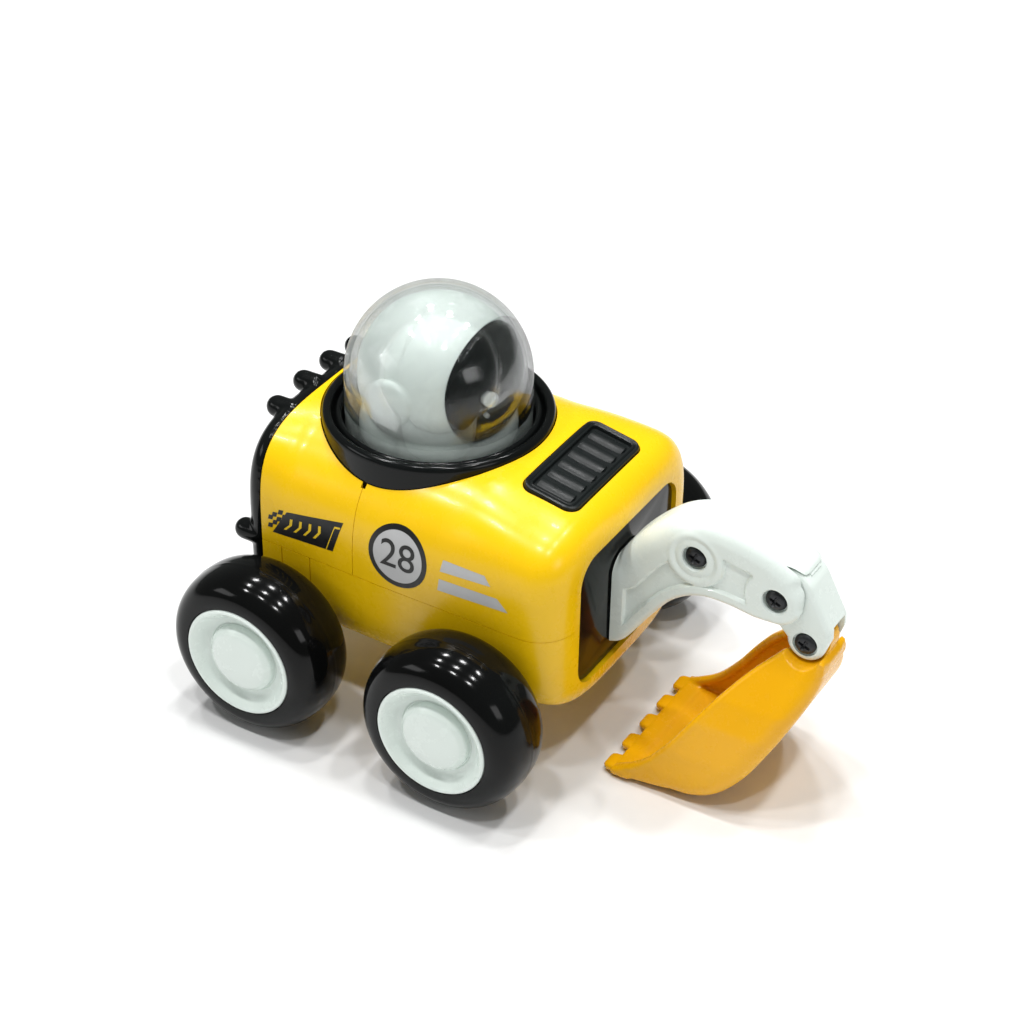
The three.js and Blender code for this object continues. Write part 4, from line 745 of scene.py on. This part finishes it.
# ---------------------------------------------------------------- hubs
# White hubs pressed on the axle's ends: a rounded lip outside the tyre, a shallow dish, a groove
# and a domed cap with a soft shoulder.
FACE_Y = TYRE_OUT_Y + 0.05
CAP_R, DISH_Y, CAP_Y = 7.7, FACE_Y - 2.5, 48.08
lip = [(HUB_R - 0.55 + 0.55 * cosd(a), FACE_Y - 0.3 + 0.55 * sind(a))
       for a in range(0, 141, 14)]
dish = [(HUB_R - 1.25 - 2.5 * s, FACE_Y - 0.25 + (DISH_Y - FACE_Y + 0.25) * sind(90 * s))
        for s in np.linspace(0.12, 1, 9)]
groove = [(CAP_R + 0.55, DISH_Y - 0.02), (CAP_R + 0.3, DISH_Y - 0.25), (CAP_R + 0.08, DISH_Y - 0.2),
          (CAP_R, DISH_Y + 0.1)]
cap = [(CAP_R, CAP_Y - 2.3), (CAP_R - 0.08, CAP_Y - 1.95), (CAP_R - 0.35, CAP_Y - 1.6),
       (CAP_R - 0.8, CAP_Y - 1.35)]
cap += [((CAP_R - 0.8) * cosd(a), CAP_Y - 1.35 + 1.35 * sind(a))
        for a in range(10, 91, 8)]
cap[-1] = (0.0, CAP_Y)
HUB_IN_Y, WEB_Y = TYRE_IN_Y + 1, DISH_Y - 1.6
BOSS_R, RIM_WALL = 4, 1.5
hub_back = [(0, WEB_Y - 0.4), (AXLE_ROOM_R, WEB_Y - 0.4), (AXLE_ROOM_R, HUB_IN_Y), (BOSS_R, HUB_IN_Y),
            (BOSS_R, WEB_Y), (HUB_R - RIM_WALL, WEB_Y), (HUB_R - RIM_WALL, HUB_IN_Y), (HUB_R, HUB_IN_Y)]
hub_profile = hub_back + lip + dish + groove + cap
for end, x in AXLES.items():
    for hand, side in (("left", 1), ("right", -1)):
        tyre = turned(f"vinyl_tyre_{end}_{hand}", tyre_profile, 160, "Y", (x, 0, AXLE_Z), side)
        place(tyre, vinyl, f"{end}_wheels", "tyre_black", f"tyre_{end}_{hand}", smooth=40)
        hub = turned(f"wheel_hub_{end}_{hand}", hub_profile, 128, "Y", (x, 0, AXLE_Z), side)
        place(hub, white, f"{end}_wheels", "white_plastic", f"hub_{end}_{hand}", smooth=40)

# ---------------------------------------------------------------- boom
# The arm's fixed upper part, white ABS in two mouldings: a shell seated on the front panel and a
# thin cover on its left side. One screw joins them and the pivot screw runs through both.
ARM_X = 41.3
BOOM_SCREW, STICK_PIVOT, BUCKET_PIVOT = (59.3, 52.4), (77.2, 48.9), (83.7, 40.0)
BOOM_HALF_W, COVER_T, END_R = 6.3, 1.7, 5.6
STICK_HALF_W, LUG_SLOT = BOOM_HALF_W - 1.9, 2.5


def smooth_through(points, steps=6):
    """A rounded line through the points that holds its own ends."""
    line = []
    padded = [points[0]] + list(points) + [points[-1]]
    for i in range(1, len(padded) - 2):
        p0, p1, p2, p3 = (np.array(p, dtype=float) for p in padded[i - 1:i + 3])
        for k in range(steps):
            t = k / steps
            line.append(tuple(0.5 * (2 * p1 + (p2 - p0) * t + (2 * p0 - 5 * p1 + 4 * p2 - p3) * t * t
                                     + (3 * p1 - p0 - 3 * p2 + p3) * t ** 3)))
    line.append(tuple(points[-1]))
    return line


def distance(points, line):
    """Distance from each point to a line of straight runs."""
    best = np.full(len(points), 1e9)
    for a, b in zip(line[:-1], line[1:]):
        a, b = np.array(a), np.array(b)
        run = b - a
        t = np.clip(((points - a) @ run) / max(run @ run, 1e-12), 0, 1)
        best = np.minimum(best, np.linalg.norm(points - (a + t[:, None] * run), axis=1))
    return best


def drawn_in(depth, radius):
    """The same rounding as pulled_in, for many depths measured from the edge."""
    into = np.clip(radius - depth, 0, radius)
    return radius - np.sqrt(radius * radius - into * into)


boom_top = smooth_through([(41.3, 45.5), (44.6, 50.4), (48.6, 54.9), (53, 58.6), (58.2, 60.9), (64.2, 61.8),
                           (70.2, 61.2), (75.4, 59.7), (79.6, 57.8), (81.7, 56.6), (82.6, 55.4),
                           (82.8, 54.4)])
end_arc = [(STICK_PIVOT[0] + END_R * cosd(a), STICK_PIVOT[1] + END_R * sind(a))
           for a in range(-90, 0, 8)]
boom_bottom = smooth_through([(41.3, 24), (44.5, 26), (50.3, 34.4), (55.1, 40.3), (60.8, 43.5), (67, 43.9),
                              (72.6, 43.2), (77.2, 43.3)]) + end_arc
boom_end = [boom_bottom[-1], boom_top[-1]]


def evenly(line, count):
    line = np.array(line)
    runs = np.concatenate([[0], np.cumsum(np.linalg.norm(np.diff(line, axis=0), axis=1))])
    at = np.linspace(0, runs[-1], count)
    return np.stack([np.interp(at, runs, line[:, k]) for k in (0, 1)], axis=1)


def cushion(name, low, high, across, along, half, edges):
    """A solid between two outlines. edges(points) gives how much each flank draws in."""
    low, high = evenly(low, along), evenly(high, along)
    share = (1 - np.cos(np.linspace(0, math.pi, across))) / 2
    grid = low[:, None, :] + (high - low)[:, None, :] * share[None, :, None]
    flat = grid.reshape(-1, 2)
    y = half - edges(flat)
    y = np.maximum(y, 0.05)
    count = len(flat)
    points = [(x, -w, z) for (x, z), w in zip(flat, y)] + [(x, w, z) for (x, z), w in zip(flat, y)]
    faces = []
    for i in range(along - 1):
        for j in range(across - 1):
            a, b, c, d = i * across + j, i * across + j + 1, (i + 1) * across + j + 1, (i + 1) * across + j
            faces.append((a, b, c, d))
            faces.append((count + d, count + c, count + b, count + a))
    edge = ([(i, 0) for i in range(along)] + [(along - 1, j) for j in range(1, across)]
            + [(i, across - 1) for i in range(along - 2, -1, -1)]
            + [(0, j) for j in range(across - 2, 0, -1)])
    edge = [i * across + j for i, j in edge]
    for a, b in zip(edge, edge[1:] + edge[:1]):
        faces.append((b, a, count + a, count + b))
    return mend(new_object(name, points, faces))


RECESS, SCREW_RING_R = 0.7, 5.4
HEAD_HOLE_R, HEAD_HOLE, SCREW_WAY_R = 2.7, 1.3, 1.25


def soft(depth, width=0.5):
    """0 outside an edge and 1 once past it by width, with a smooth wall."""
    t = np.clip(depth / width, 0, 1)
    return t * t * (3 - 2 * t)


def boom_edges(points):
    top = distance(points, boom_top)
    bottom = distance(points, boom_bottom)
    root = points[:, 0] - ARM_X
    first = np.linalg.norm(points - np.array(BOOM_SCREW), axis=1)
    second = np.linalg.norm(points - np.array(STICK_PIVOT), axis=1)
    nose = distance(points, boom_end)
    sunk = (soft(top - 7.0) * soft(bottom - 2.4) * soft(root - 2.6) * soft(first - 6.2) * soft(second - 6.4))
    ring = np.exp(-((first - SCREW_RING_R) / 0.45) ** 2)
    groove = np.exp(-((first - SCREW_RING_R + 1.1) / 0.35) ** 2)
    return (drawn_in(top, 4.5) + drawn_in(bottom, 1.3) + drawn_in(nose, 1.6) + RECESS * sunk
            - 0.12 * ring + 0.22 * groove)


boom = cushion("boom_moulding", boom_bottom, boom_top, 72, 190, BOOM_HALF_W, boom_edges)
px, pz = STICK_PIVOT
room = [(px - 7, pz), (px - 9, pz - 12), (px + 16, pz - 12), (px + 16, pz + 6.8), (px, pz + 6.8)]
cut(boom, loft("stick_room", [[(x, y, z) for x, z in room]
                              for y in (-STICK_HALF_W - 0.3, STICK_HALF_W + 0.3)]))
cut(boom, rod(8.4, "Y", (px, 0, pz), -STICK_HALF_W - 0.3, STICK_HALF_W + 0.3, 96))
FLANK, SEAT = -BOOM_HALF_W, -BOOM_HALF_W + HEAD_HOLE
screw_way = [(0, -9), (HEAD_HOLE_R + 0.5, -9), (HEAD_HOLE_R + 0.25, FLANK - 0.02),
             (HEAD_HOLE_R, FLANK + 0.3), (HEAD_HOLE_R, SEAT), (SCREW_WAY_R, SEAT), (SCREW_WAY_R, 5.2), (0, 5.2)]
for x, z in (BOOM_SCREW, STICK_PIVOT):
    cut(boom, turned("screw_hole", screw_way, 64, "Y", (x, 0, z)))
boom_lid = copy_of(boom, "boom_lid")
slice_off(boom, (0, BOOM_HALF_W - COVER_T, 0), (0, 1, 0))
slice_off(boom_lid, (0, BOOM_HALF_W - COVER_T + 0.12, 0), (0, -1, 0))
cut(boom, block(35.4, ARM_X + 1, -3.6, 3.6, 28, 42, "tongue"), "UNION")
place(boom, white, "chassis", "white_plastic", "boom_shell")
place(boom_lid, white, "chassis", "white_plastic", "boom_cover")

# ---------------------------------------------------------------- stick
# A small white link that swings on the boom's pivot screw. Its round hood fills the boom's open
# end and carries a small pad, and its lower end is forked round the bucket's lug.
bx, bz = BUCKET_PIVOT
EYE_R, CHEEK_R, HOOD_R = 4.7, 4.1, 8.1


def arc_about(centre, radius, start, end, step=6):
    count = max(2, int(abs(end - start) / step))
    return [(centre[0] + radius * cosd(start + (end - start) * i / count),
             centre[1] + radius * sind(start + (end - start) * i / count))
            for i in range(count + 1)]


hood = arc_about(STICK_PIVOT, HOOD_R, 100, 34)
heel = smooth_through([(bx + 5.0, bz + 4.6), (bx + 5.1, bz + 2.4)], 4)
foot = arc_about(BUCKET_PIVOT, CHEEK_R, 345, 262)
near = [hood[0], (px - 3.6, pz + 4.6)] + arc_about(STICK_PIVOT, EYE_R, 168, 225) + arc_about(
    BUCKET_PIVOT, CHEEK_R, 180, 262)
far = hood + heel + foot


def stick_edges(points):
    return drawn_in(np.minimum(distance(points, near), distance(points, far)), 1.2)


link = cushion("stick_link", near, far, 40, 90, STICK_HALF_W, stick_edges)
pad_arc = arc_about(STICK_PIVOT, HOOD_R + 0.25, 66, 48, 3) + arc_about(STICK_PIVOT, HOOD_R - 1.5, 48, 66, 3)
cut(link, loft("stick_pad", [[(x, y, z) for x, z in pad_arc] for y in (-2.1, 2.1)]), "UNION")
cut(link, rod(4.9, "Y", (bx, 0, bz), -LUG_SLOT, LUG_SLOT, 64))
slot_reach = [(bx - 4.9, bz), (bx + 1, bz - 14), (bx + 14, bz - 8), (bx + 9, bz + 5.5), (bx + 2.2, bz + 4.4)]
cut(link, loft("lug_slot", [[(x, y, z) for x, z in slot_reach] for y in (-LUG_SLOT, LUG_SLOT)]))
cut(link, rod(1.3, "Y", (px, 0, pz), -9, 9, 48))
cut(link, rod(SCREW_WAY_R, "Y", (bx, 0, bz), -9, 9, 48))
cut(link, turned("head_room", [(0, -9), (HEAD_HOLE_R + 0.3, -9), (HEAD_HOLE_R, -STICK_HALF_W),
                               (HEAD_HOLE_R, -STICK_HALF_W + 0.6), (0, -STICK_HALF_W + 0.6)],
                 64, "Y", (bx, 0, bz)))
place(link, white, "stick", "white_plastic", "stick")

# ---------------------------------------------------------------- bucket
# One moulding in a deeper orange-yellow, open towards the body: a curved back that narrows as it
# rises, two flared sides with a rounded rim, a floor lip with five teeth and a lug on top.
orange = moulded("orange_abs", (0.84, 0.40, 0.002), (0.89, 0.45, 0.003), 0.27, coat=0.06, bend=1.38)
BUCKET_WALL, BACK_TURN = 1.5, 4.2
back_line = smooth_through([(50.2, 0.75), (56, 0.7), (62, 0.75), (67.5, 1.3), (72.3, 3.6), (77, 8.7),
                            (80.5, 14.5), (84.3, 21.9), (87.6, 29.6), (88.9, 36.6)], 12)
rim_line = smooth_through([(50.2, 2.3), (56, 6.1), (61, 12.1), (65.6, 19.3), (70, 25.9), (74.6, 31.7),
                           (78.2, 35.4), (80.2, 37.4)], 12)
HALF_BY_Z = ([0, 6, 12, 20, 26, 32, 37.5], [18, 17.7, 16.9, 15.1, 12.6, 9, 5.6])
STATIONS = 84


def bucket_sides(shift):
    """U-shaped sections from rim to back to rim, moved in from the outside by shift."""
    rings = []
    for back, rim in zip(evenly(back_line, STATIONS), evenly(rim_line, STATIONS)):
        depth = np.linalg.norm(rim - back)
        into = (rim - back) / depth
        turn = min(BACK_TURN, depth * 0.45)
        flank = [(depth + (turn - depth) * t, 0.0) for t in np.linspace(0, 1, 13)]
        flank += [(turn - turn * sind(9 * i), turn * (1 - cosd(9 * i))) for i in range(1, 11)]
        one = []
        for d, drawn in flank:
            x, z = back + into * max(d, shift)
            one.append((x, np.interp(z, *HALF_BY_Z) - shift - drawn, z))
        x, z = back + into * shift
        half_back = np.interp(z, *HALF_BY_Z) - shift - turn
        middle = [(x, half_back * (1 - 2 * i / 13), z) for i in range(1, 13)]
        rings.append(one + middle + [(x, -y, z) for x, y, z in reversed(one)])
    return rings


def sheet(name, outer, inner):
    """Joins an outer and an inner skin into one closed wall."""
    loops = [o + list(reversed(i)) for o, i in zip(outer, inner)]
    return loft(name, loops)


scoop = sheet("bucket_moulding", bucket_sides(0), bucket_sides(BUCKET_WALL))


def rim_roll(side):
    """The thick rounded edge along one side of the mouth."""
    line = evenly(rim_line, 70)
    rings = []
    for k, (x, z) in enumerate(line):
        ahead = line[min(k + 1, 69)] - line[max(k - 1, 0)]
        ahead /= np.linalg.norm(ahead)
        across = np.array([-ahead[1], ahead[0]])
        half = np.interp(z, *HALF_BY_Z)
        ring = []
        for i in range(16):
            a = 2 * math.pi * i / 16
            y = half - 1.05 + 1.3 * math.copysign(abs(math.cos(a)) ** 0.7, math.cos(a))
            d = -0.5 + 0.95 * math.sin(a)
            ring.append((x + across[0] * d, side * y, z + across[1] * d))
        rings.append(ring)
    return loft("rim_roll", rings)


for side in (1, -1):
    cut(scoop, rim_roll(side), "UNION")
lip = rounded_rect(49.0, 53.5, 0.75, 2.45, 0.7, 5)
cut(scoop, loft("floor_lip", [[(x, y, z) for x, z in lip] for y in (-18.2, 18.2)]), "UNION")
crown = [(79.4, 35.6), (88.7, 34.4), (88.5, 37.0), (87.4, 37.7), (80.4, 37.7)]
cut(scoop, loft("crown", [[(x, y, z) for x, z in crown] for y in (-5.4, 5.4)]), "UNION")
cut(scoop, rod(4.6, "Y", (bx, 0, bz), -2.2, 2.2, 64), "UNION")
for side in (1, -1):
    y = sorted((side * 2.2, side * 7.4))
    cut(scoop, rod(CHEEK_R + 0.45, "Y", (bx, 0, bz), y[0], y[1], 64))
even = scoop.modifiers.new("even", "REMESH")
even.mode = "VOXEL"
even.voxel_size = 0.36
applied(scoop)
ease = scoop.modifiers.new("ease", "SMOOTH")
ease.factor = 0.5
ease.iterations = 4
applied(scoop)
cut(scoop, rod(SCREW_WAY_R, "Y", (bx, 0, bz), -9, 9, 48))
place(scoop, orange, "bucket", "bucket_yellow", "bucket", smooth=40)

TOOTH_PITCH, TOOTH_W, TOOTH_TIP = 7.6, 5.0, 47.0
tooth_rings = []
for x, inset, lift in ((50.6, 0.05, 0.0), (49.2, 0.0, 0.0), (48.0, 0.15, 0.05), (47.4, 0.45, 0.2),
                       (47.1, 0.85, 0.4), (TOOTH_TIP, 1.25, 0.62)):
    tooth_rings.append([(x, y, z) for y, z in rounded_rect(
        -TOOTH_W / 2 + inset, TOOTH_W / 2 - inset, 0.75 + lift, 2.35 - lift, 0.72 - lift, 4)])
tooth = loft("tooth", tooth_rings)
teeth = repeated(tooth, "teeth", {"Count": 5, "Pitch": TOOTH_PITCH, "Finish": orange})
place(teeth, orange, "bucket", "bucket_yellow", smooth=40)

# ---------------------------------------------------------------- screws
# Black-oxide pan-head screws with a cross recess: three in the arm, four up into the tray and two
# in the rear cover.
black_steel = moulded("black_screw_steel", (0.02, 0.021, 0.023), (0.05, 0.052, 0.055), 0.34, grain=2600,
                      relief=0.00002, tone=220, metal=0.6)
PAN_R, PAN_H, SHANK_R = 2.35, 1.15, 1.2


def pan_screw(name, reach):
    """A screw along -Y: the seat of its head is at y 0 and its shank runs to +reach."""
    profile = [(0, -PAN_H), (0.9, -PAN_H + 0.02), (1.5, -PAN_H + 0.12), (1.95, -PAN_H + 0.32),
               (2.25, -PAN_H + 0.62), (PAN_R, -PAN_H + 0.9), (PAN_R, -0.06), (PAN_R - 0.06, 0), (SHANK_R, 0),
               (SHANK_R, reach - 0.6), (SHANK_R - 0.5, reach), (0, reach)]
    screw = turned(name, profile, 64, "Y", (0, 0, 0))
    for turn in (0, 90):
        arm = loft("cross", [[(x, y, z) for x, z in rounded_rect(-w, w, -0.34 * s, 0.34 * s, 0.12 * s, 3)]
                             for y, w, s in ((-PAN_H - 0.3, 1.5, 1.1), (-PAN_H + 0.1, 1.35, 1.0),
                                             (-PAN_H + 0.75, 0.6, 0.7))])
        arm.data.transform(Matrix.Rotation(math.radians(turn + 22), 4, "Y"))
        cut(screw, arm)
    return screw


arm_screws = [("boom_screw", BOOM_SCREW, SEAT, 10.0, "chassis", "boom_screw"),
              ("pivot_screw", STICK_PIVOT, SEAT, 10.0, "chassis", "stick_pivot_screw"),
              ("bucket_screw", BUCKET_PIVOT, -STICK_HALF_W + 0.6, 7.4, "stick", "bucket_pivot_screw")]
for name, (x, z), seat, reach, rides, node in arm_screws:
    screw = pan_screw(name, reach)
    screw.data.transform(Matrix.Translation((x, seat, z)))
    place(screw, black_steel, rides, "black_screw", node)
for number, (x, y) in enumerate(((-17, -19), (-17, 19), (17, -19), (17, 19)), 1):
    screw = pan_screw(f"tray_fixing_{number}", 9.0)
    screw.data.transform(Matrix.Translation((x, y, 16.8)) @ Matrix.Rotation(math.radians(90), 4, "X"))
    place(screw, black_steel, "chassis", "black_screw", f"tray_screw_{number}")
for number, z in enumerate(COVER_SCREW_Z, 1):
    screw = pan_screw(f"cover_fixing_{number}", 5.2)
    screw.data.transform(
        Matrix.Translation((-33.3 + 0.9, 0, z)) @ Matrix.Rotation(math.radians(-90), 4, "Z"))
    place(screw, black_steel, "chassis", "black_screw", f"cover_screw_{number}")

# ---------------------------------------------------------------- gearbox, gears and shafts
# The press drive inside the body: a black acetal rack on the dome, white acetal gears between
# two frame plates, and plated steel shafts, axles and spring. All are the frame's own shapes.
acetal = moulded("white_acetal", (0.74, 0.74, 0.71), (0.84, 0.84, 0.81), 0.36, relief=0.00003)
wire = moulded("drawn_steel", (0.36, 0.36, 0.37), (0.58, 0.58, 0.59), 0.3, grain=3200, relief=0.00002,
               tone=300, metal=1.0)
inner_pieces = {
    black_satin: ("rack_plunger", "gearbox_left", "gearbox_right"),
    acetal: ("drive_gear", "clutch_gear", "axle_gear"),
    wire: ("return_spring", "drive_shaft", "clutch_shaft", "front_axle", "rear_axle"),
}
for finish, nodes in inner_pieces.items():
    for node in nodes:
        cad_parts[node].data.materials.clear()
        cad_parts[node].data.materials.append(finish)

# ---------------------------------------------------------------- floor, light and view
# A pale seamless table under soft overhead boxes, as for a catalogue picture, with the toy seen
# from above its right side.
floor = new_object("floor", [(-3, -3, 0), (3, -3, 0), (3, 3, 0), (-3, 3, 0)], [(0, 1, 2, 3)])
paper, paper_tree, paper_surface = new_material("white_paper")
paper_place = new_node(paper_tree, "TexCoord")
paper_tone = new_node(paper_tree, "TexNoise", {"Scale": 300})
paper_ramp = ramp_between(paper_tree, (0.80, 0.80, 0.80), (0.83, 0.83, 0.83))
join(paper_tree, (paper_place, "Object", paper_tone, "Vector"), (paper_tone, "Fac", paper_ramp, "Fac"),
     (paper_ramp, "Color", paper_surface, "Base Color"))
paper_surface.inputs["Roughness"].default_value = 0.6
floor.data.materials.append(paper)

world = bpy.context.scene.world or bpy.data.worlds.new("studio")
bpy.context.scene.world = world
world.use_nodes = True
world.node_tree.nodes["Background"].inputs["Color"].default_value = (0.80, 0.84, 0.80, 1)
world.node_tree.nodes["Background"].inputs["Strength"].default_value = 0.2


def soft_box(name, at, wide, deep, power, towards=(0, 0, 0.04)):
    lamp = bpy.data.lights.new(name, "AREA")
    lamp.shape, lamp.size, lamp.size_y, lamp.energy = "RECTANGLE", wide, deep, power
    holder = added(name, lamp)
    holder.location = at
    holder.rotation_euler = (Vector(towards) - Vector(at)).to_track_quat("-Z", "Y").to_euler()


for row in range(3):
    for column in range(3):
        soft_box(f"ceiling_lamp_{row}_{column}", (-0.42 + 0.36 * column, -0.30 + 0.34 * row, 0.95),
                 0.09, 0.05, 1.75)
soft_box("left_box", (-0.9, -0.75, 0.55), 0.5, 0.3, 1.5)
soft_box("front_box", (0.95, -0.25, 0.5), 0.35, 0.3, 1.1)

AZIMUTH, ELEVATION, ROLL = math.radians(30.581), math.radians(34.948), math.radians(0.988)
back = Vector((math.sin(AZIMUTH) * math.cos(ELEVATION), -math.cos(AZIMUTH) * math.cos(ELEVATION),
               math.sin(ELEVATION)))
level = Vector((math.cos(AZIMUTH), math.sin(AZIMUTH), 0))
up = back.cross(level)
across = level * math.cos(ROLL) + up * math.sin(ROLL)
upward = up * math.cos(ROLL) - level * math.sin(ROLL)
lens = bpy.data.cameras.new("camera")
lens.lens, lens.sensor_width = 85.77, 36
lens.clip_start, lens.clip_end = 0.01, 20
camera = added("camera", lens)
camera.matrix_world = Matrix.Translation(
    Vector((226.318 + MID_X, -359.626, 335.013)) * MM) @ Matrix((across, upward, back)).transposed().to_4x4()
bpy.context.scene.camera = camera
bpy.context.scene.view_settings.view_transform = "Standard"
